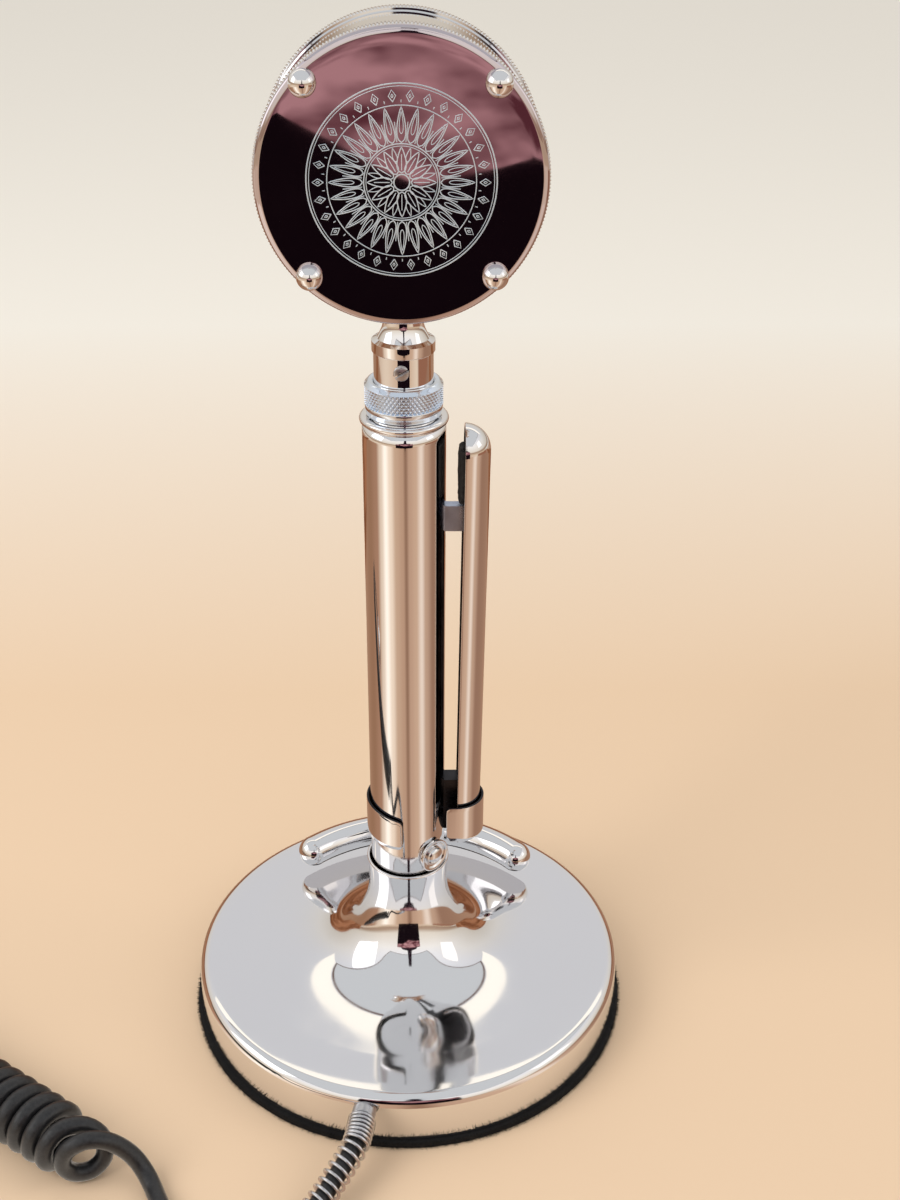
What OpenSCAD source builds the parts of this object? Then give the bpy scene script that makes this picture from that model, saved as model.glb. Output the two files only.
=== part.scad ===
// Desk microphone with a round head on a column, seen with its back towards -Y.
// Origin: centre of the felt's underside. +Z up, the cable leaves towards -Y, the grip is at +X.

/* [Base] */
// Radius of the base cover at its foot
base_r = 76.2; // [74:0.2:90]
// How much the base wall draws in towards its top
base_draft = 0.6; // [0:0.1:1.5]
// Height of the base's flat top above the floor
plate_z = 20.5; // [20:0.5:26]
// Radius of the rounded shoulder of the base
shoulder_r = 4; // [2:0.5:6]
// Wall of the spun base cover
cover_t = 1; // [0.8:0.1:1.2]
// Thickness of the felt ring
felt_t = 3; // [2.8:0.2:4]
// How far the felt stands out past the base wall
felt_proud = 1.4; // [0:0.1:3]
// Width of the felt ring
felt_w = 16.8; // [10:0.2:24]
// Thickness of the bottom plate
bottom_t = 1.2; // [0.8:0.1:2]
// Height of the cast weight
weight_h = 8; // [6:0.5:8.5]
// Inner radius of the cast weight
weight_inner_r = 42; // [40:1:46]
// Radius at which the bell runs out into the flat top
bell_foot_r = 58; // [57:0.5:62]
// Height of the bell's lip above the flat top
bell_h = 40.8; // [40:0.2:44]

/* [Column] */
// Outer radius of the column tube
column_r = 12.7; // [12.4:0.05:13.2]
// Wall of the column tube
column_t = 1; // [0.8:0.1:1.2]
// Height of the column's top end above the floor
column_top = 225; // [223:1:250]
// Gap between the column and the bell's lip
lip_gap = 0.6; // [0.5:0.1:1]
// How deep the column reaches below the bell's lip
column_sunk = 4; // [2:0.5:5]
// Height of the side screw
side_screw_z = 67.9; // [67.8:0.1:69]
// Angle of the side screw from the back, towards the grip
side_screw_angle = 42; // [30:1:48]
// Radius of the cup washer under the side screw
washer_r = 6; // [5:0.1:6.2]
// Height of the cup washer's rim
washer_h = 1.4; // [1:0.1:1.6]

/* [Collar and neck] */
// Radius of the rolled lip of the collar
lip_r = 13.5; // [13.5:0.1:15]
// Height of the rolled lip
lip_h = 2.2; // [1.5:0.1:3]
// Outer radius of the lock ring
ring_r = 11.8; // [11.7:0.1:12.6]
// Height of the lock ring
ring_h = 10.7; // [10:0.1:12]
// Outer radius of the neck
neck_r = 8.9; // [8.8:0.05:9]
// Height of the neck's cylinder above the lock ring
neck_h = 12.4; // [12:0.1:16]
// Height of the neck's wider top band
band_h = 3.4; // [2:0.1:5]

/* [Head] */
// Radius of the reeded rims of the head
head_r = 40; // [38:0.5:46]
// Depth of the head's case between its two plates
head_depth = 32.6; // [30:0.2:40]
// Wall of the head's case
case_t = 1.6; // [1:0.1:2]
// Width of each reeded rim
rim_w = 3.4; // [2:0.1:5]
// Thickness of the back plate
plate_t = 1.9; // [1.5:0.1:3]
// Radius of a ball-headed screw's head
ball_r = 3.7; // [2.5:0.05:4]
// Radius of a hole in the grille
grille_hole_r = 1.3; // [0.8:0.1:1.6]
// Distance from one circle of grille holes to the next
grille_pitch = 4.6; // [4.2:0.1:4.9]
// Number of hole circles in the grille
grille_rows = 6; // [3:1:6]
// Outer radius of the crystal cartridge
cartridge_r = 29; // [26:0.5:30]

/* [Grip] */
// Outer radius of the half-round grip bar
grip_r = 8; // [7.8:0.1:9]
// Sheet thickness of the grip bar
grip_t = 1; // [0.8:0.1:1.2]
// Gap between the column and the bar's open edge
grip_gap = 4.25; // [4.2:0.05:6]
// How far the grip bar leans out at rest, in degrees
grip_lean = 0.6; // [0.4:0.05:0.8]
// Height of the grip bar's foot
grip_foot_z = 71.5; // [71:0.5:72.5]
// Height of the grip bar's round top
grip_top_z = 223.5; // [215:0.5:226]
// How far the rubber bumper stands out of the bar
bumper_proud = 1.8; // [1:0.1:1.9]
// Length of the rubber bumper
bumper_h = 18; // [8:1:20]
// Height of the middle of the tab
tab_z = 192.8; // [170:0.2:193]
// Thickness of the tab
tab_w = 3.7; // [3:0.1:4.5]
// Full squeeze of the grip, in degrees
squeeze_deg = 1.5; // [1:0.1:1.5]
// Height of the strap's lower edge
strap_z = 73; // [72.5:0.5:74]
// Height of the strap
strap_h = 14; // [12:0.2:15]
// Sheet thickness of the strap
strap_t = 0.8; // [0.6:0.1:1]
// Gap between the strap and the column
strap_gap = 0.5; // [0.1:0.1:0.6]

/* [Press bar] */
// Radius of the curved press bar's middle line
press_r = 55; // [52:0.5:62]
// Half of the angle that the press bar spans
press_half_angle = 45; // [35:1:50]
// How far the press bar's arc is turned towards the grip, in degrees
press_turn = 3.6; // [-5:0.2:5]
// Radius of the press bar's section
press_bar_r = 5.8; // [5:0.1:6.5]
// Gap between the press bar and the flat top
press_gap = 5.6; // [5:0.1:7]
// Full tilt of the press bar, in degrees
press_deg = 4.5; // [3:0.1:4.5]

/* [Cord] */
// Diameter of the cord
cord_d = 5.8; // [5:0.1:5.8]
// Outer diameter of the curly cord
curl_od = 22; // [21.5:0.5:24]
// Distance from curl to curl
curl_pitch = 6.4; // [6.35:0.05:6.8]
// Number of curls
curl_count = 38; // [20:1:40]
// Wire of the strain-relief spring
spring_wire = 1.15; // [0.8:0.05:1.2]
// Outer diameter of the strain-relief spring
spring_od = 9.3; // [9:0.1:9.6]
// Number of close turns at the spring's root
close_turns = 6; // [3:1:8]
// Number of open turns
open_turns = 16; // [8:1:16]
// Distance from turn to turn where the spring is open
open_pitch = 2.85; // [2.4:0.05:2.9]
// Angle of the cable's exit from the back, towards the side away from the grip
exit_angle = 11.3; // [10:0.1:12]
// Outer radius of the plug
plug_r = 9.2; // [8.5:0.1:9.3]

/* [Hidden] */
$fn = 96;

// Clearances: apart faces, running fits, held fits
face_gap = 0.3;
fit_gap = 0.05;
slip_gap = 0.1;
inf = 400;

// Heights up the microphone
lip_z = plate_z + bell_h;
waist_r = column_r + 1.1;
column_foot_z = lip_z - column_sunk;
column_bore_r = column_r - column_t;
lip_top_z = column_top + lip_h;
ring_z = lip_top_z + face_gap;
ring_top_z = ring_z + ring_h;
neck_top_z = ring_top_z + neck_h;
dome_h = 9.6;
head_z = neck_top_z + dome_h + head_r;

// Head, measured from its middle: +Z of the head's own frame is the back
case_r = head_r - 1.3;
case_bore_r = case_r - case_t;
half_depth = head_depth / 2;
plate_r = head_r - 0.4;
edge_r = 1.3;
screw_circle_r = head_r - 4;
screw_shank_r = 1.5;
boss_r = 2.6;
boss_h = 6;
ring_inner_r = 30.5;
front_t = 1.6;
grille_t = 0.9;
cloth_t = 0.5;
can_front = -half_depth + 3.6;
can_back = can_front + 11;
can_t = 0.8;
element_side = 18;
element_t = 1.6;
element_z = can_front + 5;
lead_r = 0.8;
lead_x = 2.6;

// Neck and the contacts in it
thread_r = neck_r + 1.1;
spigot_z = lip_top_z + 7.6;
ring_cap_t = 1.6;
flange_t = 0.7;
neck_bore_r = neck_r - 1.5;
neck_floor_z = neck_top_z - 5;
insert_top_z = spigot_z + 7;
contact_circle_r = 4.4;
contact_r = 0.8;
contact_depth = 5.4;
lead_hole_r = 5;
neck_screw_r = 2.3;
neck_screw_z = ring_top_z + 4.9;

// Grip
grip_edge_x = column_r + grip_gap;
grip_ball_z = grip_top_z - grip_r;
grip_bore_r = grip_r - grip_t;
pivot_x = grip_edge_x + 3.6;
pivot_z = strap_z + 6;
pin_r = 1.5;
grip_pin_half = 6.4;
lug_w = 6;
lug_h = 20.5;
bumper_z = grip_top_z - 7 - bumper_h;
tab_h = 8.6;
slope = 0.35;
wedge = 4;
bar_strap_gap = 0.6;
strap_taper = 11;

// Switch rod inside the column
rod_lever = (tab_z - pivot_z) * slope + pivot_x;
rod_travel = rod_lever * sin(squeeze_deg);
rod_r = 1.6;
rod_tip_r = 0.9;
rod_foot_gap = 0.4;
rod_head_r = 5.2;
rod_head_foot_z = tab_z - 12;
guide_z = tab_z - 38;
guide_h = 4;
cable_x = -6.9;
cable_y = 3.6;
cable_r = 1.2;
screw_head_r = 3.3;
washer_floor = 0.5;
washer_rim = 0.8;
washer_slope = 0.48;

// Inner frame of the base
weight_z = felt_t + bottom_t;
weight_top_z = weight_z + weight_h;
weight_outer_r = base_r - cover_t - base_draft - 1.4;
bridge_t = 3;
bridge_w = 24;
bridge_top_z = weight_top_z + bridge_t;
bridge_half = weight_inner_r + 12;
bridge_hole_x = bridge_half - 5;
plate_hole_r = weight_inner_r + 6;
m3_r = 1.5;
post_r = column_bore_r - fit_gap;
post_t = 1.5;
post_top_z = side_screw_z + 11;
window_w = 14;
window_top_z = lip_z - 6.5;

// Press bar and its arm
press_z = plate_z + press_gap + press_bar_r * 0.6;
arm_z = plate_z + 8.2;
arm_t = 3;
arm_w = 8;
arm_pivot_y = 15;
arm_tail_y = -0.6;
arm_pin_r = 1.5;
hub_r = 3.2;
ear_x = 4.6;
ear_t = 1.6;
ear_half = 2.8;
press_spring_y = 20.6;

// Leaf switch
leaf_t = 0.3;
leaf_w = 5;
leaf_root_y = -12.3;
leaf_tip_y = 2;
leaf_lower_z = arm_z + arm_t / 2 + face_gap + leaf_t / 2;
leaf_middle_z = leaf_lower_z + 1.6;
leaf_upper_z = leaf_middle_z + 1.9;
rod_foot_z = leaf_upper_z + leaf_t / 2 + rod_foot_gap;
block_y = -15.6;
block_w = 7;
block_lip = 0.9;
tag_out = 1;

// Terminal strip on the bridge
strip_x = -46;
strip_l = 16;
strip_w = 8;
strip_h = 2.4;
strip_tag_l = 5;

// Cable exit, square to the base wall
exit_z = plate_z - 6.5;
exit_r = base_r - base_draft / 2;
ferrule_r = 3.9;
ferrule_out = 2.6;
ferrule_in = 6;
cord_r = cord_d / 2;

// Routes, each a list of points that a smooth curve passes through
lead_route = [
    [-12.5, -62.8, 14], [-14.1, -70.6, 14], [-15.2, -76.4, 14], [-15.9, -80.6, 13.7],
    [-17, -85, 12.8], [-19.2, -89.6, 11.5], [-23.4, -96.1, 9.4], [-27.8, -102.8, 7.4],
    [-34.4, -111, 5.2], [-42.4, -118.6, 3.7], [-52, -123.8, 3], [-62, -124, 3],
    [-70, -118, 3], [-74, -108.6, 3], [-76.6, -103.2, 3], [-79.1, -98, 3]
];
curl_in_route = [
    [-79.1, -98, 3], [-81.6, -92.8, 3], [-84.4, -88.8, 5.2], [-87.8, -86.6, 9.4],
    [-92, -86.3, 14], [-96.6, -87.2, 17.8]
];
curl_out_route = [
    [-309.3, 51.2, 18.8], [-313.2, 45.6, 15.6], [-315.6, 39.8, 11.2]
];
tail_route = [
    [-315.6, 39.8, 11.2], [-317.71, 34.7, 7.33], [-318.4, 28, 4.2], [-316.6, 21, 3],
    [-312, 14.4, 3], [-304, 8.4, 3.6], [-294.6, 2.2, 5.8], [-285.4, -3.9, 8.2],
    [-276.2, -9.9, 9.4], [-267, -15.9, 9.4]
];
curl_from = [-105, -85.1, 11.1];
curl_dir = [-0.814, 0.581, 0];
curl_side = [0.581, 0.814, 0];
curl_r = (curl_od - cord_d) / 2;
curl_first_deg = 100;
curl_fan_deg = 40;
curl_rings = 8;
curl_sides = 6;
cord_sides = 10;
lead_steps = 2;

// Strain-relief spring
spring_mid_r = (spring_od - spring_wire) / 2;
close_pitch = spring_wire + 0.85;

// Plug, along its own axis from the cord
plug_turn = -33.3;
plug_clamp_l = 12;
plug_shell_l = 22;
plug_nose_l = 5.4;
plug_ring_l = 13;
plug_body_r = plug_r - 1.5;
plug_shell_t = 1.1;
plug_nose_r = cord_r + 3.2;
plug_nose_bend = 1.6;
plug_z = 9.4;

felt_colour = [0.06, 0.06, 0.06];
chrome_colour = [0.78, 0.78, 0.8];
steel_colour = [0.6, 0.6, 0.62];
dark_chrome_colour = [0.25, 0.2, 0.24];
rubber_colour = [0.08, 0.08, 0.09];
brass_colour = [0.8, 0.65, 0.3];
phenolic_colour = [0.3, 0.18, 0.1];
iron_colour = [0.3, 0.3, 0.32];
cloth_colour = [0.1, 0.1, 0.12];

function unit(v) = v / norm(v);

// Point of a smooth curve through four points, between the second and the third
function smooth_point(a, b, c, d, t) =
    0.5 * (2 * b + (c - a) * t + (2 * a - 5 * b + 4 * c - d) * t * t
        + (3 * b - a - 3 * c + d) * t * t * t);

// Smooth curve through all points of a route, with a number of steps between neighbours
function smooth(route, steps) =
    let (n = len(route))
    [
        for (i = [0 : n - 2]) for (k = [0 : steps - 1])
            smooth_point(
                i == 0 ? 2 * route[0] - route[1] : route[i - 1],
                route[i],
                route[i + 1],
                i == n - 2 ? 2 * route[n - 1] - route[n - 2] : route[i + 2],
                k / steps
            ),
        route[n - 1]
    ];

// Smooth curve whose first and last stretch between route points is straight
function smooth_with_ends(route, steps) =
    let (line = smooth(route, steps), n = len(line))
    [for (i = [0 : n - 1]) if (i == 0 || i == n - 1 || (i >= steps && i < n - steps)) line[i]];

// Distance along a line up to each of its points
function walked(line) =
    let (n = len(line), steps = [for (i = [0 : n - 1]) i == 0 ? 0 : norm(line[i] - line[i - 1])])
    [for (i = 0, s = 0; i < n; i = i + 1, s = s + (i < n ? steps[i] : 0)) s];

// Least distance between points of a line that are at least one and at most two turns apart
function least_gap(line, near, far, d) =
    min([
        for (i = [0 : len(line) - near - 1])
            min([for (j = [i + near : min(i + far, len(line) - 1)]) norm(line[i] - line[j])])
    ]) - d;

// Tube along a line of points, with flat ends and a given number of sides
module tube(line, r, sides) {
    n = len(line);
    dirs = [for (i = [0 : n - 1]) unit(line[min(i + 1, n - 1)] - line[max(i - 1, 0)])];
    points = [
        for (i = [0 : n - 1])
            let (across = unit(cross(dirs[i], [0.02, 0.01, 1])), up = cross(across, dirs[i]))
            for (k = [0 : sides - 1])
                line[i] + r * (across * cos(360 * k / sides) + up * sin(360 * k / sides))
    ];
    polyhedron(points, tube_faces(n, sides), convexity = 10);
}
function tube_faces(n, sides) = concat(
    [[for (k = [0 : sides - 1]) k]],
    [
        for (i = [0 : n - 2]) for (k = [0 : sides - 1])
            let (a = i * sides + k, b = i * sides + (k + 1) % sides)
            [a, a + sides, b]
    ],
    [
        for (i = [0 : n - 2]) for (k = [0 : sides - 1])
            let (a = i * sides + k, b = i * sides + (k + 1) % sides)
            [b, a + sides, b + sides]
    ],
    [[for (k = [sides - 1 : -1 : 0]) (n - 1) * sides + k]]
);

// Coiled tube: rings are turned about the coil's own axis, so that curls stay even
module coil_tube(line, axes, r, sides) {
    n = len(line);
    dirs = [for (i = [0 : n - 1]) unit(line[min(i + 1, n - 1)] - line[max(i - 1, 0)])];
    points = [
        for (i = [0 : n - 1])
            let (across = unit(cross(dirs[i], axes[i])), up = cross(across, dirs[i]))
            for (k = [0 : sides - 1])
                line[i] + r * (across * cos(360 * k / sides) + up * sin(360 * k / sides))
    ];
    polyhedron(points, tube_faces(n, sides), convexity = 10);
}

// Ring made by turning a rectangle round Z
module ring(r_in, r_out, z_low, z_high) {
    rotate_extrude()
        translate([r_in, z_low])
            square([r_out - r_in, z_high - z_low]);
}

// Cylinder along Y from y_low to y_high
module rod_y(r, y_low, y_high) {
    translate([0, y_low, 0])
        rotate([-90, 0, 0])
            cylinder(r = r, h = y_high - y_low);
}

// Cylinder along X, centred
module rod_x(r, half) {
    translate([-half, 0, 0])
        rotate([0, 90, 0])
            cylinder(r = r, h = 2 * half);
}

// Places a piece of the head: its own +Z becomes the back of the microphone
module in_head() {
    translate([0, 0, head_z])
        rotate([90, 0, 0])
            children();
}

// Repeats a piece at the four screws of the head
module at_screws() {
    for (a = [45 : 90 : 315])
        rotate([0, 0, a])
            translate([screw_circle_r, 0, 0])
                children();
}

// Disc with a rounded rim on its upper side
module rounded_disc(r, t, edge) {
    rotate_extrude() polygon(concat(
        [[0, 0], [r, 0], [r, t - edge]],
        [for (a = [15 : 15 : 90]) [r - edge * (1 - cos(a)), t - edge * (1 - sin(a))]],
        [[0, t]]
    ));
}

// Head

module head_case() {
    color(chrome_colour) in_head() difference() {
        union() {
            translate([0, 0, -half_depth]) cylinder(r = case_r, h = head_depth);
            for (z = [-half_depth, half_depth - rim_w])
                translate([0, 0, z]) cylinder(r = head_r, h = rim_w);
        }
        difference() {
            translate([0, 0, -half_depth - 1]) cylinder(r = case_bore_r, h = head_depth + 2);
            at_screws() for (z = [-half_depth - 2, half_depth - boss_h])
                translate([0, 0, z]) cylinder(r = boss_r, h = boss_h + 2);
        }
        at_screws() for (z = [-half_depth - 1, half_depth - boss_h + 1])
            translate([0, 0, z]) cylinder(r = screw_shank_r, h = boss_h);
        rotate([90, 0, 0]) cylinder(r = lead_hole_r, h = head_r + 1);
    }
}
module rear_plate() {
    color(dark_chrome_colour) in_head() difference() {
        translate([0, 0, half_depth]) rounded_disc(plate_r, plate_t, edge_r);
        at_screws() translate([0, 0, half_depth - 1])
            cylinder(r = screw_shank_r + fit_gap, h = plate_t + 2);
    }
}
module ball_screws(face, foot) {
    at_screws() {
        translate([0, 0, face]) difference() {
            translate([0, 0, ball_r * 0.2]) sphere(r = ball_r);
            translate([0, 0, -2 * ball_r]) cylinder(r = 2 * ball_r, h = 2 * ball_r);
        }
        translate([0, 0, foot]) cylinder(r = screw_shank_r - fit_gap, h = face + 0.5 - foot);
    }
}
module rear_screws() {
    color(chrome_colour) in_head()
        ball_screws(half_depth + plate_t, half_depth - boss_h + 1.4);
}
module front_ring() {
    color(chrome_colour) in_head() mirror([0, 0, 1]) difference() {
        translate([0, 0, half_depth]) rounded_disc(plate_r, front_t + grille_t, edge_r);
        translate([0, 0, half_depth - 1]) cylinder(r = ring_inner_r, h = front_t + grille_t + 2);
        translate([0, 0, half_depth - 1]) cylinder(r = ring_inner_r + 2, h = 1 + grille_t + fit_gap);
        at_screws() translate([0, 0, half_depth - 1])
            cylinder(r = screw_shank_r + fit_gap, h = front_t + grille_t + 2);
    }
}
module front_grille() {
    color(chrome_colour) in_head() mirror([0, 0, 1]) translate([0, 0, half_depth]) difference() {
        cylinder(r = ring_inner_r + 2 - fit_gap, h = grille_t);
        translate([0, 0, -1]) cylinder(r = grille_hole_r, h = grille_t + 2);
        for (row = [1 : grille_rows]) for (i = [0 : 6 * row - 1])
            rotate([0, 0, 60 * i / row])
                translate([row * grille_pitch, 0, -1])
                    cylinder(r = grille_hole_r, h = grille_t + 2, $fn = 24);
    }
}
module front_screws() {
    color(chrome_colour) in_head() mirror([0, 0, 1])
        ball_screws(half_depth + front_t + grille_t, half_depth - boss_h + 1.4);
}
module grille_cloth() {
    color(cloth_colour) in_head()
        translate([0, 0, -half_depth]) cylinder(r = ring_inner_r + 1.5, h = cloth_t);
}
module cartridge_can() {
    color(steel_colour) in_head() {
        difference() {
            translate([0, 0, can_front]) cylinder(r = cartridge_r, h = can_back - can_front);
            translate([0, 0, can_front - 1])
                cylinder(r = cartridge_r - can_t, h = can_back - can_front + 1 - can_t);
        }
        for (side = [-1, 1])
            translate([side * element_side * 0.4, side * element_side * 0.4, element_z + element_t])
                cylinder(r = 2, h = can_back - can_t - element_z - element_t + 0.1);
    }
}
module cartridge_diaphragm() {
    color(steel_colour) in_head() translate([0, 0, can_front - 0.4]) difference() {
        cylinder(r = cartridge_r, h = 0.4);
        translate([0, 0, 0.3]) cylinder(r = 2, h = 1);
    }
}
module crystal_element() {
    color([0.85, 0.85, 0.8]) in_head() {
        translate([-element_side / 2, -element_side / 2, element_z])
            cube([element_side, element_side, element_t]);
        translate([0, 0, can_front + face_gap]) cylinder(r = 0.8, h = element_z - can_front);
    }
}
module cartridge_gasket() {
    color(rubber_colour) in_head()
        ring(cartridge_r + fit_gap, case_bore_r - fit_gap, can_front + 4, can_back - 2);
}
module head_leads() {
    color(rubber_colour) for (side = [-1, 1])
        translate([side * lead_x, 0, insert_top_z + face_gap])
            cylinder(r = lead_r, h = head_z - 18 - insert_top_z);
}
module head_neck() {
    stem_foot = neck_top_z + 0.6;
    color(chrome_colour) difference() {
        rotate_extrude() polygon(concat(
            [
                [neck_bore_r, spigot_z],
                [thread_r - slip_gap, spigot_z],
                [thread_r - slip_gap, spigot_z + flange_t],
                [neck_r, spigot_z + flange_t],
                [neck_r, neck_top_z - band_h],
                [neck_r + 0.5, neck_top_z - band_h],
                [neck_r + 0.5, neck_top_z - 0.4],
                [neck_r - 0.1, neck_top_z]
            ],
            smooth([
                [neck_r - 1.2, stem_foot],
                [neck_r - 1.9, stem_foot + 1.4],
                [neck_r - 2.7, stem_foot + 3.4],
                [neck_r - 3, stem_foot + 5.6],
                [neck_r - 2.7, stem_foot + 8],
                [neck_r - 1.6, stem_foot + dome_h + 1]
            ], 3),
            [
                [lead_hole_r, stem_foot + dome_h + 1],
                [lead_hole_r, neck_floor_z],
                [neck_bore_r, neck_floor_z]
            ]
        ));
        in_head() translate([0, 0, -half_depth - 1]) cylinder(r = case_r + fit_gap, h = head_depth + 2);
        translate([0, 0, neck_screw_z]) rod_y(neck_screw_r - 0.9, -neck_r - 1, 0);
    }
}
module neck_screw() {
    color(steel_colour) translate([-0.7, 0, neck_screw_z]) difference() {
        union() {
            intersection() {
                rod_y(neck_screw_r, -neck_r - 1.1, -neck_r + 2);
                difference() {
                    translate([0, -neck_r + 3.2, 0]) sphere(r = 4.7);
                    translate([0.7, 0, -10]) cylinder(r = neck_r + fit_gap, h = 20);
                }
            }
            translate([0.7, 0, 0]) rod_y(neck_screw_r - 1, -neck_r - 0.4, -neck_bore_r);
        }
        rotate([0, -28, 0])
            translate([-5, -neck_r - 2, -0.3]) cube([10, 1.5, 0.6]);
    }
}
module neck_insert() {
    color(phenolic_colour) {
        translate([0, 0, spigot_z]) cylinder(r = neck_bore_r - slip_gap, h = insert_top_z - spigot_z);
        for (a = [90 : 120 : 330]) rotate([0, 0, a])
            translate([contact_circle_r, 0, spigot_z - contact_depth + 0.6])
                cylinder(r = contact_r, h = contact_depth);
    }
}

// Lock ring and collar

module lock_ring() {
    cap_z = ring_top_z - ring_cap_t;
    color(chrome_colour) rotate_extrude() polygon([
        [thread_r + slip_gap, ring_z],
        [ring_r - 0.5, ring_z],
        [ring_r - 0.3, ring_z + 0.5],
        [ring_r - 0.8, ring_z + 1.6],
        [ring_r - 0.15, ring_z + 2.4],
        [ring_r - 0.15, ring_top_z - 1.6],
        [ring_r - 0.5, ring_top_z - 1],
        [ring_r - 0.9, ring_top_z - 0.2],
        [ring_r - 1.3, ring_top_z],
        [neck_r + slip_gap, ring_top_z - 0.3],
        [neck_r + slip_gap, cap_z],
        [thread_r + slip_gap, cap_z]
    ]);
}
module column_collar() {
    bore_r = neck_bore_r + 0.3;
    color(chrome_colour) rotate_extrude() polygon(concat(
        [
            [bore_r, column_top - 10],
            [column_bore_r - fit_gap, column_top - 10],
            [column_bore_r - fit_gap, column_top]
        ],
        [
            for (a = [-90 : 22.5 : 90])
                [lip_r - lip_h / 2 + lip_h / 2 * cos(a), column_top + lip_h / 2 * (1 + sin(a))]
        ],
        [
            [thread_r + 1, lip_top_z - 0.5],
            [thread_r, lip_top_z - 0.5],
            [thread_r, spigot_z],
            [bore_r, spigot_z]
        ]
    ));
}
module socket_insert() {
    bore_r = neck_bore_r + 0.3 - fit_gap;
    color(phenolic_colour) difference() {
        translate([0, 0, column_top - 6]) cylinder(r = bore_r, h = spigot_z - column_top + 6 - 0.1);
        for (a = [90 : 120 : 330]) rotate([0, 0, a])
            translate([contact_circle_r, 0, spigot_z - contact_depth - 0.4])
                cylinder(r = contact_r + fit_gap, h = contact_depth + 2);
    }
}

// Column and what runs in it

module column_tube() {
    color(chrome_colour) difference() {
        ring(column_bore_r, column_r, column_foot_z, column_top);
        translate([column_bore_r - 3, -tab_w / 2 - 0.4, tab_z - tab_h / 2 - 0.9])
            cube([8, tab_w + 0.8, tab_h + 1.8]);
        side_screw_hole(m3_r + 0.1);
    }
}
module side_screw_hole(r) {
    translate([0, 0, side_screw_z])
        rotate([0, 0, side_screw_angle])
            rod_y(r, -column_r - 2, -column_bore_r + 3);
}
module stem_post() {
    color(steel_colour) difference() {
        ring(post_r - post_t, post_r, bridge_top_z, post_top_z);
        translate([-window_w / 2, -post_r - 1, bridge_top_z - 1])
            cube([window_w, 2 * post_r + 2, window_top_z - bridge_top_z + 1]);
        side_screw_hole(m3_r + fit_gap);
    }
}
module side_screw() {
    seat_y = -column_r - fit_gap - washer_floor;
    color(chrome_colour) translate([0, 0, side_screw_z]) rotate([0, 0, side_screw_angle]) {
        intersection() {
            rod_y(screw_head_r, seat_y - 3, seat_y);
            translate([0, seat_y + screw_head_r * 0.7, 0]) sphere(r = screw_head_r * 1.25);
        }
        rod_y(m3_r, seat_y - 1, -post_r + post_t + 0.4);
    }
}
module saddle_washer() {
    color(chrome_colour) translate([0, 0, side_screw_z]) rotate([0, 0, side_screw_angle])
        translate([0, -column_r - fit_gap, 0]) rotate([90, 0, 0]) rotate_extrude() polygon([
            [m3_r + 0.1, 0],
            [washer_r - 0.3, 0],
            [washer_r, 0.3],
            [washer_r, washer_h - 0.3],
            [washer_r - 0.3, washer_h],
            [washer_r - washer_rim, washer_h - 0.1],
            [washer_r - washer_rim - washer_slope, washer_floor],
            [m3_r + 0.1, washer_floor]
        ]);
}
module column_cable() {
    top = [
        [-4.8, 2.5, column_top - 6.1], [-4.8, 2.5, column_top - 13],
        [cable_x, cable_y, column_top - 22], [cable_x, cable_y, column_top - 30]
    ];
    foot = [
        [cable_x, cable_y, 33], [cable_x, cable_y, 26],
        [-6.4, -3.5, bridge_top_z + 6], [-5.6, -9.5, bridge_top_z + 3.2],
        [-8.5, -15, bridge_top_z + 1.8], [-15, -16, bridge_top_z + 1.5],
        [-23, -10, bridge_top_z + 1.5], [-29, -3.6, bridge_top_z + 1.5]
    ];
    color(rubber_colour) tube(concat(smooth(top, 3), smooth(foot, 3)), cable_r, 8);
}
module rod_guide() {
    color(steel_colour) difference() {
        translate([0, 0, guide_z]) cylinder(r = column_bore_r - fit_gap, h = guide_h);
        translate([0, 0, guide_z - 1]) cylinder(r = rod_r + fit_gap, h = guide_h + 2);
        translate([cable_x, cable_y, guide_z - 1]) cylinder(r = cable_r + 0.4, h = guide_h + 2);
    }
}
module switch_rod() {
    color(steel_colour) {
        translate([0, 0, rod_foot_z + rod_tip_r]) sphere(r = rod_tip_r);
        translate([0, 0, rod_foot_z + rod_tip_r]) cylinder(r = rod_tip_r, h = 2);
        translate([0, 0, rod_foot_z + 2]) cylinder(r = rod_r, h = rod_head_foot_z - rod_foot_z - 1);
        difference() {
            translate([0, 0, rod_head_foot_z]) cylinder(r = rod_head_r, h = 14);
            translate([0, 0, -face_gap]) leaning() wedge_cut();
        }
    }
}
// Everything above the tab's sloped underside
module wedge_cut() {
    translate([0, inf / 2, 0]) rotate([90, 0, 0]) linear_extrude(inf) polygon([
        [-inf / 8, tab_z + slope * (inf / 8 - wedge) - tab_h / 2 + 2 * wedge * slope],
        [wedge, tab_z - tab_h / 2],
        [inf / 8, tab_z - tab_h / 2],
        [inf / 8, tab_z + inf / 8],
        [-inf / 8, tab_z + inf / 8]
    ]);
}
module rod_spring() {
    color(steel_colour) ring(rod_r + 0.6, rod_r + 2.2, guide_z + guide_h, rod_head_foot_z);
}

// Grip

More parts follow.
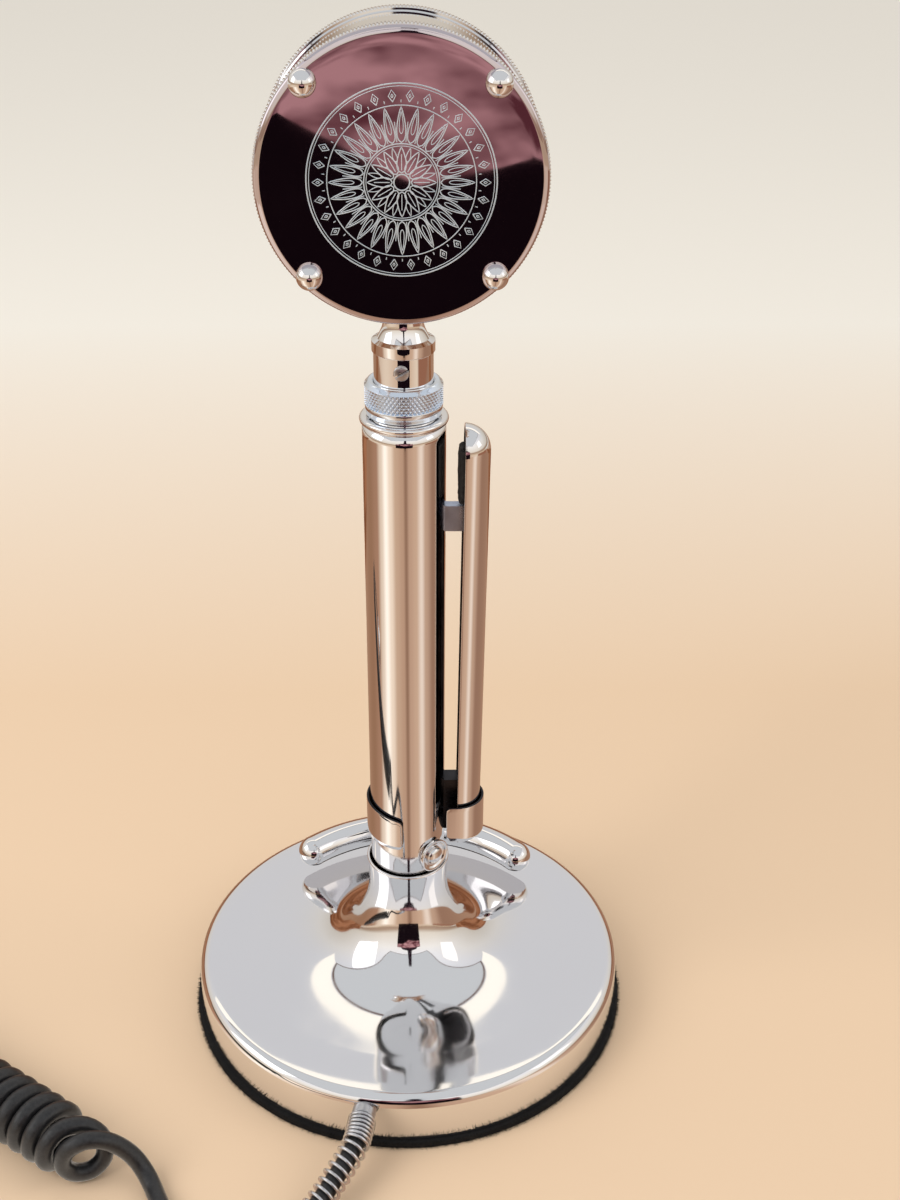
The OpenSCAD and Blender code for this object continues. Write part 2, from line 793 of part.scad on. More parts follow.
// Turns a piece of the grip about its pin, out to where it rests
module leaning() {
    translate([pivot_x, 0, pivot_z])
        rotate([0, grip_lean, 0])
            translate([-pivot_x, 0, -pivot_z])
                children();
}
module half_round(r, foot_z) {
    translate([grip_edge_x, 0, 0]) {
        translate([0, 0, foot_z]) cylinder(r = r, h = grip_ball_z - foot_z);
        translate([0, 0, grip_ball_z]) sphere(r = r);
    }
}
module grip_bar() {
    color(chrome_colour) leaning() difference() {
        half_round(grip_r, grip_foot_z);
        half_round(grip_bore_r, grip_foot_z - 1);
        translate([grip_edge_x - 20, -20, 0]) cube([20, 40, inf]);
        translate([pivot_x, 0, pivot_z]) rod_y(pin_r + fit_gap, -20, 20);
    }
}
module grip_bumper() {
    bumper_w = grip_r * 1.1;
    color(rubber_colour) leaning() intersection() {
        translate([grip_edge_x - bumper_proud, -bumper_w / 2, bumper_z])
            cube([bumper_proud + grip_r * 0.6, bumper_w, bumper_h]);
        union() {
            half_round(grip_bore_r - slip_gap, bumper_z);
            translate([grip_edge_x - bumper_proud, -grip_r, bumper_z])
                cube([bumper_proud, 2 * grip_r, bumper_h]);
        }
    }
}
module grip_tab() {
    color(chrome_colour) leaning() intersection() {
        translate([0, tab_w / 2, 0]) rotate([90, 0, 0]) linear_extrude(tab_w) polygon([
            [-wedge, tab_z + tab_h / 2],
            [-wedge, tab_z - tab_h / 2 + 2 * wedge * slope],
            [wedge, tab_z - tab_h / 2],
            [grip_edge_x + grip_bore_r, tab_z - tab_h / 2],
            [grip_edge_x + grip_bore_r, tab_z + tab_h / 2]
        ]);
        union() {
            half_round(grip_bore_r - fit_gap, grip_foot_z);
            translate([-20, -20, 0]) cube([20 + grip_edge_x, 40, inf]);
        }
    }
}
module grip_lug() {
    color(dark_chrome_colour) difference() {
        translate([0, -lug_w / 2, strap_z + 1])
            cube([grip_edge_x + grip_bore_r - 1.2, lug_w, lug_h]);
        translate([0, 0, strap_z]) cylinder(r = column_r + fit_gap, h = lug_h + 2);
        translate([pivot_x, 0, pivot_z]) rod_y(pin_r + fit_gap, -20, 20);
    }
}
module grip_pin() {
    color(steel_colour) translate([pivot_x, 0, pivot_z]) rod_y(pin_r, -grip_pin_half, grip_pin_half);
}
// Middle line of the strap: round the column from its back end, behind it and round the bar
function strap_line() =
    let (
        rc = column_r + strap_gap + strap_t / 2,
        rb = grip_r + bar_strap_gap + strap_t / 2
    )
    concat(
        [for (a = [-97 : -8 : -262]) rc * [cos(a), sin(a)]],
        smooth([
            rc * [cos(-266), sin(-266)],
            [grip_edge_x * 0.42, rc - 0.8],
            [grip_edge_x * 0.75, rb + 0.6],
            [grip_edge_x, rb]
        ], 4),
        [for (a = [80 : -10 : -80]) [grip_edge_x + rb * cos(a), rb * sin(a)]],
        [[grip_edge_x, -rb], [column_r + 0.6, -rb]]
    );
function beside(line, d) = [
    for (i = [0 : len(line) - 1])
        let (v = unit(line[min(i + 1, len(line) - 1)] - line[max(i - 1, 0)]))
        line[i] + d * [-v[1], v[0]]
];
module grip_strap() {
    line = strap_line();
    n = len(line);
    color(chrome_colour) translate([0, 0, strap_z]) difference() {
        linear_extrude(strap_h) polygon(concat(
            beside(line, strap_t / 2),
            [for (i = [n - 1 : -1 : 0]) beside(line, -strap_t / 2)[i]]
        ));
        translate([-column_r - 2, -column_r - 3, strap_h])
            rotate([0, strap_taper, 0])
                cube([column_r + 6, column_r - 3, strap_h]);
    }
}

// Base

// Bell from its foot to its lip, moved inwards by a wall
function bell_line(wall) =
    let (
        line = smooth([
            [bell_foot_r, plate_z],
            [bell_foot_r - 10, plate_z + 0.3],
            [bell_foot_r - 20, plate_z + 1.2],
            [bell_foot_r - 28, plate_z + 3.7],
            [bell_foot_r - 32.6, plate_z + 6.7],
            [bell_foot_r - 36, plate_z + 9.9],
            [bell_foot_r - 38.5, plate_z + 12.8],
            [bell_foot_r - 41.2, plate_z + 17.5],
            [waist_r + 0.6, plate_z + 24.5],
            [waist_r, plate_z + 30],
            [waist_r + 0.2, lip_z - 4.5],
            [column_r + lip_gap + cover_t, lip_z]
        ], 3),
        n = len(line)
    )
    [
        for (i = [0 : n - 1])
            let (
                v = i == 0 ? [-1, 0] : i == n - 1 ? [0, 1] : unit(line[i + 1] - line[i - 1])
            )
            line[i] + wall * [-v[1], v[0]]
    ];
module base_cover() {
    outer = bell_line(0);
    inner = bell_line(cover_t);
    top_r = base_r - base_draft;
    color(chrome_colour) difference() {
        rotate_extrude() polygon(concat(
            [[base_r, felt_t], [top_r, plate_z - shoulder_r]],
            [
                for (a = [15 : 15 : 90])
                    [top_r - shoulder_r * (1 - cos(a)), plate_z - shoulder_r * (1 - sin(a))]
            ],
            outer,
            [for (i = [len(inner) - 1 : -1 : 0]) inner[i]],
            [
                for (a = [90 : -15 : 0])
                    [
                        top_r - shoulder_r + (shoulder_r - cover_t) * cos(a),
                        plate_z - shoulder_r + (shoulder_r - cover_t) * sin(a)
                    ]
            ],
            [[base_r - cover_t, felt_t]]
        ));
        translate([0, 0, exit_z]) rotate([0, 0, -exit_angle])
            rod_y(ferrule_r + fit_gap, -base_r - 1, -base_r + 6);
        translate([-arm_w / 2 - 1, 20, arm_z - arm_t / 2 - 2.2])
            cube([arm_w + 2, 14, arm_t + 2.8]);
    }
}
module at_plate_screws() {
    for (a = [30 : 120 : 270])
        rotate([0, 0, a])
            translate([plate_hole_r, 0, 0])
                children();
}
module base_weight() {
    color(iron_colour) difference() {
        ring(weight_inner_r, weight_outer_r, weight_z, weight_top_z);
        rotate([0, 0, -exit_angle])
            translate([-8, -base_r, weight_z - 1])
                cube([16, base_r - weight_inner_r + 4, weight_h + 2]);
        for (side = [-1, 1])
            translate([side * bridge_hole_x, 0, weight_z + 2])
                cylinder(r = m3_r, h = weight_h);
        at_plate_screws() translate([0, 0, weight_z - 1]) cylinder(r = m3_r, h = 6);
    }
}
module base_bridge() {
    color(steel_colour) difference() {
        union() {
            translate([-bridge_half, -bridge_w / 2, weight_top_z])
                cube([2 * bridge_half, bridge_w, bridge_t]);
            translate([-bridge_w / 2, -bridge_w / 2 - 8, weight_top_z])
                cube([bridge_w, bridge_w + 18, bridge_t]);
            translate([-block_w / 2, block_y, weight_top_z])
                cube([block_w, 3, leaf_lower_z - block_lip - weight_top_z]);
        }
        for (side = [-1, 1])
            translate([side * bridge_hole_x, 0, weight_top_z - 1])
                cylinder(r = m3_r + 0.2, h = bridge_t + 2);
    }
}
module bridge_screws() {
    color(steel_colour) for (side = [-1, 1]) translate([side * bridge_hole_x, 0, 0]) {
        translate([0, 0, bridge_top_z]) cylinder(r = 3, h = 1.6);
        translate([0, 0, weight_z + 2.4])
            cylinder(r = m3_r - fit_gap, h = bridge_top_z - weight_z - 1.4);
    }
}
module bottom_plate() {
    color(steel_colour) difference() {
        translate([0, 0, felt_t]) cylinder(r = base_r - cover_t - face_gap, h = bottom_t);
        at_plate_screws() translate([0, 0, felt_t - 1]) cylinder(r = m3_r + 0.2, h = bottom_t + 2);
    }
}
module bottom_screws() {
    color(steel_colour) at_plate_screws() {
        translate([0, 0, felt_t - 1.4]) cylinder(r = 2.8, h = 1.4);
        translate([0, 0, felt_t - 0.5]) cylinder(r = m3_r - fit_gap, h = bottom_t + 4.6);
    }
}
module felt_ring() {
    color(felt_colour) ring(base_r + felt_proud - felt_w, base_r + felt_proud, 0, felt_t);
}

// Press bar and switch

// Section of the press bar: a circle with a flat underside
module press_section() {
    difference() {
        circle(r = press_bar_r);
        translate([-2 * press_bar_r, -2.6 * press_bar_r]) square([4 * press_bar_r, 2 * press_bar_r]);
    }
}
// Ball end of the press bar: half of its section turned about its upright axis
module press_end() {
    rotate_extrude(angle = 180) intersection() {
        press_section();
        translate([0, -press_bar_r]) square([press_bar_r, 2 * press_bar_r]);
    }
}
module press_bar() {
    color(chrome_colour) translate([0, 0, press_z]) rotate([0, 0, 90 - press_half_angle - press_turn]) {
        rotate_extrude(angle = 2 * press_half_angle)
            translate([press_r, 0]) press_section();
        translate([press_r, 0, 0]) rotate([0, 0, 180]) press_end();
        rotate([0, 0, 2 * press_half_angle]) translate([press_r, 0, 0]) press_end();
    }
}
module press_arm() {
    color(steel_colour) difference() {
        union() {
            translate([-arm_w / 2, arm_tail_y, arm_z - arm_t / 2])
                cube([arm_w, press_r - arm_tail_y, arm_t]);
            translate([0, arm_pivot_y, arm_z]) rod_x(hub_r, arm_w / 2);
        }
        translate([0, 0, press_z])
            rotate_extrude() translate([press_r, 0]) circle(r = press_bar_r + fit_gap);
        translate([0, arm_pivot_y, arm_z]) rod_x(arm_pin_r + fit_gap, arm_w);
    }
}
module arm_pin() {
    color(steel_colour) translate([0, arm_pivot_y, arm_z]) rod_x(arm_pin_r, ear_x + ear_t + 0.4);
}
module arm_bracket() {
    color(steel_colour) difference() {
        union() {
            for (x = [-ear_x - ear_t, ear_x])
                translate([x, arm_pivot_y - ear_half, bridge_top_z])
                    cube([ear_t, 2 * ear_half, arm_z + 2.7 - bridge_top_z]);
            translate([-ear_x - ear_t, arm_pivot_y - ear_half, bridge_top_z])
                cube([2 * (ear_x + ear_t), 11, 1.5]);
        }
        translate([0, arm_pivot_y, arm_z]) rod_x(arm_pin_r + fit_gap, 2 * ear_x);
    }
}
module press_spring() {
    color(steel_colour) translate([0, press_spring_y, 0])
        ring(1, 2.1, bridge_top_z + 1.5, arm_z - arm_t / 2 - fit_gap);
}
module switch_block() {
    low = leaf_lower_z - block_lip;
    color(phenolic_colour) difference() {
        translate([-block_w / 2, block_y, low])
            cube([block_w, leaf_root_y - slip_gap - block_y, leaf_upper_z + block_lip - low]);
        for (z = [leaf_lower_z, leaf_middle_z, leaf_upper_z])
            translate([-leaf_w / 2 - fit_gap, block_y - 1, z - leaf_t / 2 - fit_gap])
                cube([leaf_w + 2 * fit_gap, 10, leaf_t + 2 * fit_gap]);
    }
}
module switch_tags() {
    color(brass_colour) for (z = [leaf_lower_z, leaf_middle_z, leaf_upper_z])
        translate([-leaf_w / 2, block_y - tag_out, z - leaf_t / 2])
            cube([leaf_w, leaf_root_y - slip_gap - block_y + tag_out, leaf_t]);
}
module leaf(z, tip_y) {
    color(brass_colour) translate([-leaf_w / 2, leaf_root_y, z - leaf_t / 2])
        cube([leaf_w, tip_y - leaf_root_y, leaf_t]);
}
module leaf_upper() {
    leaf(leaf_upper_z, leaf_tip_y);
}
module leaf_middle() {
    leaf(leaf_middle_z, leaf_tip_y - 0.5);
}
module leaf_lower() {
    leaf(leaf_lower_z, leaf_tip_y);
}
module terminal_strip() {
    color(phenolic_colour) translate([strip_x, -strip_w / 2, bridge_top_z])
        cube([strip_l, strip_w, strip_h]);
    color(brass_colour) for (x = [strip_x + 2.5 : 3.7 : strip_x + strip_l - 2])
        translate([x, -strip_tag_l / 2, bridge_top_z + strip_h]) cube([1.6, strip_tag_l, 0.6]);
}

// Cable exit and cord

module at_exit() {
    translate([0, 0, exit_z])
        rotate([0, 0, -exit_angle])
            children();
}
module cable_clamp() {
    color(steel_colour) at_exit() difference() {
        union() {
            rod_y(cord_r + 2, -base_r + 10, -base_r + 15);
            translate([-4.5, -base_r + 10, weight_z - exit_z]) cube([9, 5, exit_z - weight_z - 1]);
        }
        rod_y(cord_r + fit_gap, -base_r + 5, -base_r + 20);
    }
}
module cable_ferrule() {
    color(steel_colour) at_exit() difference() {
        rod_y(ferrule_r, -exit_r - ferrule_out, -exit_r + ferrule_in);
        rod_y(cord_r + 0.2, -exit_r - 20, -exit_r + 20);
    }
}
// The cord's line from the clamp to the first curl, and its length up to each point
lead_line = smooth_with_ends(lead_route, lead_steps);
fine_lead = smooth(lead_route, 12);
fine_walk = walked(fine_lead);
function lead_at(s) = [
    for (axis = [0 : 2])
        lookup(s, [for (i = [0 : len(fine_lead) - 1]) [fine_walk[i], fine_lead[i][axis]]])
];
spring_from = lookup(
    -exit_r - ferrule_out - spring_wire / 2 - fit_gap,
    [
        for (i = [len(fine_lead) / 3 : -1 : 0])
            [fine_lead[i] * [sin(exit_angle), cos(exit_angle), 0], fine_walk[i]]
    ]
);
function spring_s(t) =
    spring_from + min(t, close_turns) * close_pitch + max(t - close_turns, 0) * open_pitch;
spring_turns = close_turns + open_turns;
spring_rings = spring_turns * curl_rings;
spring_axis = [
    for (i = [0 : spring_rings])
        let (s = spring_s(i / curl_rings))
        unit(lead_at(s + 0.5) - lead_at(s - 0.5))
];
spring_line = [
    for (i = [0 : spring_rings])
        let (
            s = spring_s(i / curl_rings),
            across = unit(cross(spring_axis[i], [0, 0, 1])),
            up = cross(across, spring_axis[i]),
            a = 360 * i / curl_rings
        )
        lead_at(s) + spring_mid_r * (across * cos(a) + up * sin(a))
];
module strain_spring() {
    color(steel_colour) coil_tube(spring_line, spring_axis, spring_wire / 2, curl_sides);
}
module cord_lead() {
    color(rubber_colour) tube(lead_line, cord_r, cord_sides);
}
// Share of the fan that is left after a number of curls
function fan(turns) = turns < 0.45 ? 1 : turns > 1.35 ? 0 : 0.5 + 0.5 * cos(180 * (turns - 0.45) / 0.9);
curl_helix = [
    for (i = [0 : curl_count * curl_rings])
        let (
            turns = i / curl_rings,
            a = curl_first_deg + 360 * turns,
            f = curl_fan_deg * fan(turns),
            side = curl_side * cos(f) - curl_dir * sin(f)
        )
        curl_from + curl_dir * (curl_pitch * turns - curl_r * sin(f))
            + curl_r * (side * cos(a) + [0, 0, 1] * sin(a))
];
curl_in = smooth(concat(curl_in_route, [curl_helix[0]]), lead_steps);
curl_out = smooth(concat([curl_helix[len(curl_helix) - 1]], curl_out_route), lead_steps);
curl_line = concat(
    [curl_in[0]],
    [for (i = [lead_steps : len(curl_in) - 2]) curl_in[i]],
    curl_helix,
    [for (i = [1 : len(curl_out) - 1 - lead_steps]) curl_out[i]],
    [curl_out[len(curl_out) - 1]]
);
curl_axes = [for (i = [0 : len(curl_line) - 1]) curl_dir];
module cord_curls() {
    color(rubber_colour) coil_tube(curl_line, curl_axes, cord_r, curl_sides);
}
module cord_tail() {
    color(rubber_colour) tube(smooth_with_ends(tail_route, lead_steps), cord_r, cord_sides);
}
module at_plug() {
    translate([tail_route[len(tail_route) - 1][0], tail_route[len(tail_route) - 1][1], plug_z])
        rotate([0, 0, plug_turn])
            rotate([0, 90, 0])
                children();
}
module plug_clamp() {
    color(steel_colour) at_plug() difference() {
        union() {
            cylinder(r = cord_r + 2.2, h = plug_clamp_l);
            translate([-6.5, -2, 2]) cube([13, 4, 6]);
        }
        translate([0, 0, -1]) cylinder(r = cord_r + fit_gap, h = plug_clamp_l + 2);
    }
}
module plug_shell() {
    color(chrome_colour) at_plug() translate([0, 0, plug_clamp_l]) difference() {
        rotate_extrude() polygon(concat(
            [[0, 0], [plug_nose_r - 0.6, 0], [plug_nose_r, 1]],
            [for (a = [-90 : 15 : 0])
                [plug_body_r - plug_nose_bend * (1 - cos(a)), plug_nose_l - 0.4 + plug_nose_bend * sin(a)]],
            [[plug_body_r, plug_shell_l], [0, plug_shell_l]]
        ));
        translate([0, 0, plug_nose_l]) cylinder(r = plug_body_r - plug_shell_t, h = plug_shell_l);
        translate([0, 0, -1]) cylinder(r = cord_r, h = plug_nose_l + 2);
    }
}
module plug_ring() {
    color(chrome_colour) at_plug()
        translate([0, 0, plug_clamp_l + plug_shell_l - plug_ring_l + 5])
            ring(plug_body_r + slip_gap, plug_r, 0, plug_ring_l);
}
module plug_insert() {
    pin_z = plug_clamp_l + plug_shell_l - 5;
    color(phenolic_colour) at_plug() {
        translate([0, 0, pin_z]) cylinder(r = plug_body_r - plug_shell_t - fit_gap, h = 3);
        for (a = [45 : 90 : 315]) rotate([0, 0, a]) translate([3.6, 0, pin_z + 2])
            cylinder(r = 0.9, h = 7);
    }
}

echo(least_curl_gap = least_gap(curl_line, 6, 11, cord_d));
echo(least_spring_gap = least_gap(spring_line, 6, 11, spring_wire));
echo(cord_length = walked(curl_line)[len(curl_line) - 1] + walked(lead_line)[len(lead_line) - 1]);
echo(spring_end = spring_line[len(spring_line) - 1], rod_travel = rod_travel, head_z = head_z);

head_case();
rear_plate();
rear_screws();
front_ring();
front_grille();
front_screws();
grille_cloth();
cartridge_can();
cartridge_diaphragm();
crystal_element();
cartridge_gasket();
head_leads();
head_neck();
neck_screw();
neck_insert();
lock_ring();
column_collar();
socket_insert();
column_tube();
column_cable();
stem_post();
rod_guide();
switch_rod();
rod_spring();
side_screw();
saddle_washer();
grip_bar();
grip_bumper();
grip_tab();
grip_lug();
grip_pin();
grip_strap();
base_cover();
base_weight();
base_bridge();
bridge_screws();
bottom_plate();
bottom_screws();
felt_ring();
press_bar();
press_arm();
arm_pin();
arm_bracket();
press_spring();
switch_block();
switch_tags();
leaf_upper();
leaf_middle();
leaf_lower();
terminal_strip();
cable_clamp();
cable_ferrule();
strain_spring();
cord_lead();
cord_curls();
cord_tail();
plug_shell();
plug_ring();
plug_insert();
plug_clamp();
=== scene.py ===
# %% [markdown]
# # A chrome desk microphone
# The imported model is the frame: it says where each piece is and which body carries it. Everything that
# shows is made around it here, piece by piece, in the same place and at the same size.
# Nearly every piece is polished chrome, so its shape shows only through what it mirrors. That asks for
# three things: very even surfaces, small rounded edges that catch light, and surroundings worth mirroring.

# %% Load the frame
import math

import bmesh
import bpy
import numpy as np
from mathutils import Matrix, Vector


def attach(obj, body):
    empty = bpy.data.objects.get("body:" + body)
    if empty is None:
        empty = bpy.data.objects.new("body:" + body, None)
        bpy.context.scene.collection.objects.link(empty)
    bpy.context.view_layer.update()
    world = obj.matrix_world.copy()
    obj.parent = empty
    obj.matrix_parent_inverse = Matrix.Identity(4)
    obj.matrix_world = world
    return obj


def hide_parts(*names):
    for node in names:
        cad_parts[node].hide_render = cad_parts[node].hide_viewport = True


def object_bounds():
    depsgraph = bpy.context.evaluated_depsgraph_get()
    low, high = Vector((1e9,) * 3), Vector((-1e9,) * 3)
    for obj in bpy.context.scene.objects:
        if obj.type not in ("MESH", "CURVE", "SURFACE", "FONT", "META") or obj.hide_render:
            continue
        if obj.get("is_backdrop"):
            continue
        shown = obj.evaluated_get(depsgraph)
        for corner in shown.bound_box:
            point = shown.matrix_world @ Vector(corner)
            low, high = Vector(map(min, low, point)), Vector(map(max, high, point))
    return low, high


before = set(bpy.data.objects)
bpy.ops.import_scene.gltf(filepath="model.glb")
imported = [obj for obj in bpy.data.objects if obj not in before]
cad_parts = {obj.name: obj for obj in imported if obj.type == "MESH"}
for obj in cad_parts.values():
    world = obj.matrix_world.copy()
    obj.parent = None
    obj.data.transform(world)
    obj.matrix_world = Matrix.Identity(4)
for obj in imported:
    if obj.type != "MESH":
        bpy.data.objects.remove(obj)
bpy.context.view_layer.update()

MM = 0.001

# %% [markdown]
# The camera comes first, because everything is judged through it. Its place and tilt were worked out from
# the outlines of the base, the column and the head in the picture. It stands about half a metre away,
# a little above the head, and looks down by 29 degrees, so the base shows as a wide ellipse.

# %% Camera
def shown(name, data):
    """A new object in the scene."""
    piece = bpy.data.objects.new(name, data)
    bpy.context.scene.collection.objects.link(piece)
    return piece


CAMERA_PLACE = Vector((0.945, -422.13, 398.07)) * MM
PITCH, YAW, ROLL = (math.radians(a) for a in (29.095, 1.801, 0.429))
ahead = Vector((math.sin(YAW) * math.cos(PITCH), math.cos(YAW) * math.cos(PITCH), -math.sin(PITCH)))
level = Vector((math.cos(YAW), -math.sin(YAW), 0))
above = level.cross(ahead)
right = level * math.cos(ROLL) + above * math.sin(ROLL)
up = above * math.cos(ROLL) - level * math.sin(ROLL)

camera_data = bpy.data.cameras.new("camera")
camera_data.sensor_width = 36
camera_data.lens = 45.22
camera = shown("camera", camera_data)
turn = Matrix((right, up, -ahead)).transposed()
camera.matrix_world = Matrix.Translation(CAMERA_PLACE) @ turn.to_4x4()
bpy.context.scene.camera = camera
bpy.context.scene.view_settings.view_transform = "Standard"
print("camera looks along", [round(v, 3) for v in ahead])

# %% [markdown]
# Sizes. They are the same values as in the part's source, in millimetres, so that each visible piece lies
# on the solid that it stands for.

# %% Sizes in millimetres
BASE_R, PLATE_Z, SHOULDER_R, BASE_DRAFT, COVER_T = 76.2, 20.5, 4.0, 0.6, 1.0
FELT_T, FELT_R, FELT_W = 3.0, 77.6, 16.8
COLUMN_R, COLUMN_T, COLUMN_TOP = 12.7, 1.0, 225.0
BELL_FOOT_R, LIP_Z, LIP_GAP = 58.0, 61.3, 0.6
WAIST_R, COLUMN_FOOT_Z = COLUMN_R + 1.1, LIP_Z - 4
LIP_R, LIP_H, RING_R, RING_H = 13.5, 2.2, 11.8, 10.7
NECK_R, NECK_H, BAND_H, DOME_H = 8.9, 12.4, 3.4, 9.6
RING_Z = COLUMN_TOP + LIP_H + 0.3
RING_TOP_Z = RING_Z + RING_H
NECK_TOP_Z = RING_TOP_Z + NECK_H
HEAD_R, HEAD_DEPTH, RIM_W, PLATE_T = 40.0, 32.6, 3.4, 1.9
HEAD_Z = NECK_TOP_Z + DOME_H + HEAD_R
GRIP_R, GRIP_EDGE_X, GRIP_TOP_Z, GRIP_FOOT_Z = 8.0, COLUMN_R + 4.25, 223.5, 71.5
PIVOT = Vector((GRIP_EDGE_X + 3.6, 0, 79))
GRIP_LEAN = math.radians(0.6)

# %% [markdown]
# Every piece is made from points and faces in millimetres, gets a finish, and then rides on a body of the
# frame. Two functions do that for all of them.

# %% Make a piece and let it ride
def mesh_piece(name, points, faces, finish, sharp_deg=38, sheet=False):
    """A piece from points in millimetres. Hair-thin seams are closed. A sheet keeps its face side."""
    mesh = bpy.data.meshes.new(name)
    mesh.from_pydata([tuple(p) for p in np.asarray(points, float) * MM], [], faces)
    work = bmesh.new()
    work.from_mesh(mesh)
    bmesh.ops.remove_doubles(work, verts=work.verts, dist=1e-6)
    bmesh.ops.dissolve_degenerate(work, edges=work.edges, dist=1e-7)
    if not sheet:
        bmesh.ops.recalc_face_normals(work, faces=work.faces)
    work.to_mesh(mesh)
    work.free()
    mesh.polygons.foreach_set("use_smooth", [True] * len(mesh.polygons))
    mesh.set_sharp_from_angle(angle=math.radians(sharp_deg))
    mesh.materials.append(finish)
    return shown(name, mesh)


def fit(piece, body, slot, *stands_for):
    """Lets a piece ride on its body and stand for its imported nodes."""
    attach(piece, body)
    if stands_for:
        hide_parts(*stands_for)
    count = len(piece.data.polygons) if piece.type == "MESH" else len(piece.data.splines[0].points)
    print(f"{piece.name}: {count} faces or points, rides on {body}")
    return piece


# %% [markdown]
# Nearly everything here was turned on a lathe, so a piece is a line that is spun round an axis. Corners are
# rounded in the line itself: on chrome, the thin bright line along an edge tells the eye that metal is thick.

# %% Lines with rounded corners and arcs
def rounded(line, radius, steps=4):
    """Replaces each corner of a closed line by a small arc. A radius of 0 leaves a corner as it is."""
    line = [np.array(p, float) for p in line]
    radii = radius if hasattr(radius, "__len__") else [radius] * len(line)
    out = []
    for i, p in enumerate(line):
        before, after = line[i - 1] - p, line[(i + 1) % len(line)] - p
        r = min(radii[i], 0.45 * np.linalg.norm(before), 0.45 * np.linalg.norm(after))
        if r < 1e-6:
            out.append(p)
            continue
        a = p + r * before / np.linalg.norm(before)
        b = p + r * after / np.linalg.norm(after)
        for t in np.linspace(0, 1, steps + 1):
            out.append((1 - t) ** 2 * a + 2 * t * (1 - t) * p + t * t * b)
    return out


def arc(r, z, radius, start, end, count, rise=None):
    """Points round (r, z) from one angle to another. rise is the radius along z, where it differs."""
    rise = rise or radius
    return [(r + radius * math.cos(a), z + rise * math.sin(a)) for a in np.linspace(start, end, count)]


def about(r, z, *offsets):
    """Points of a line, given by their offsets from (r, z)."""
    return [(r + out, z + up) for out, up in offsets]


# %% [markdown]
# The spun piece is a grid of points: one row for each point of the line, one column for each step of the
# turn. The same grid of faces serves later for the bar, the strap and the engraved lines.

# %% Spin a line round an axis
def grid_faces(rows, columns, close_rows=False, close_columns=False):
    """Four-sided faces over a grid of points, row by row. The grid may close on itself either way."""
    return [
        (i * columns + k, i * columns + (k + 1) % columns,
         (i + 1) % rows * columns + (k + 1) % columns, (i + 1) % rows * columns + k)
        for i in range(rows if close_rows else rows - 1)
        for k in range(columns if close_columns else columns - 1)
    ]


def spun(line, steps=192, closed=True, wave=None):
    """Points and faces of a turned piece. wave(angle, radius, height) may move the radius."""
    angle = np.arange(steps) * 2 * math.pi / steps
    rings = []
    for r, z in line:
        here = np.full(steps, float(r)) if wave is None else wave(angle, r, z)
        rings.append(np.stack([here * np.cos(angle), here * np.sin(angle), np.full(steps, float(z))], -1))
    return np.concatenate(rings), grid_faces(len(rings), steps, closed, True)


def moved(points, turn=Matrix.Identity(3), to=(0, 0, 0)):
    """Turned and shifted points."""
    return np.asarray(points) @ np.array(turn).T + np.array(to, float)


def turned(name, line, finish, sharp_deg=38, turn=Matrix.Identity(3), to=(0, 0, 0), **spin):
    """A piece from a spun line that is then turned and shifted."""
    points, faces = spun(line, **spin)
    return mesh_piece(name, moved(points, turn, to), faces, finish, sharp_deg)


def joined(*parts):
    """Several (points, faces) as one."""
    points, faces, start = [], [], 0
    for p, f in parts:
        points.append(np.asarray(p, float))
        faces += [tuple(i + start for i in face) for face in f]
        start += len(p)
    return np.concatenate(points), faces


# %% [markdown]
# Two kinds of smooth curve are needed. The metal profiles use a spline whose bend changes evenly, since a
# mirror shows every jump in it. The cord uses the rounder curve of the part's source, so that both agree.

# %% Even spline for profiles, round curve for cords
def walked(line):
    """How far along a line each of its points is."""
    return np.concatenate([[0], np.cumsum(np.linalg.norm(np.diff(np.array(line, float), axis=0), axis=1))])


def even_spline(knots, per_span):
    """Cubic spline through all knots, with free ends."""
    p = np.array(knots, float)
    n = len(p)
    h = np.diff(walked(p))
    a = np.zeros((n, n))
    b = np.zeros((n, p.shape[1]))
    a[0, 0] = a[-1, -1] = 1
    for i in range(1, n - 1):
        a[i, i - 1], a[i, i], a[i, i + 1] = h[i - 1], 2 * (h[i - 1] + h[i]), h[i]
        b[i] = 6 * ((p[i + 1] - p[i]) / h[i] - (p[i] - p[i - 1]) / h[i - 1])
    bend = np.linalg.solve(a, b)
    out = []
    for i in range(n - 1):
        for s in np.arange(per_span) / per_span * h[i]:
            u, v = h[i] - s, s
            out.append(
                (bend[i] * u ** 3 + bend[i + 1] * v ** 3) / (6 * h[i])
                + (p[i] / h[i] - bend[i] * h[i] / 6) * u
                + (p[i + 1] / h[i] - bend[i + 1] * h[i] / 6) * v
            )
    return out + [p[-1]]


def round_curve(route, steps):
    """Curve through all points of a route, as in the part's source."""
    p = np.array(route, float)
    p = np.concatenate([[2 * p[0] - p[1]], p, [2 * p[-1] - p[-2]]])
    out = []
    for i in range(1, len(p) - 2):
        a, b, c, d = p[i - 1 : i + 3]
        for t in np.arange(steps) / steps:
            out.append(0.5 * (
                2 * b + (c - a) * t + (2 * a - 5 * b + 4 * c - d) * t * t + (3 * b - a - 3 * c + d) * t ** 3
            ))
    return np.array(out + [p[-2]])


# %% [markdown]
# # Finishes
# Chrome is a full metal with a very low roughness. Real chrome is never quite even: it has a breath of
# haze and wiping marks, so the roughness drifts a little over the surface. Nothing else is needed, and a
# bump would only make the mirror look cheap.

# %% Shader nodes in short
def feed(node, **values):
    """Sets or links a node's sockets. An underscore stands for the blank in a socket's name."""
    for name, value in values.items():
        socket = node.inputs[name.replace("_", " ")]
        if isinstance(value, bpy.types.NodeSocket):
            node.id_data.links.new(value, socket)
        else:
            socket.default_value = value
    return node


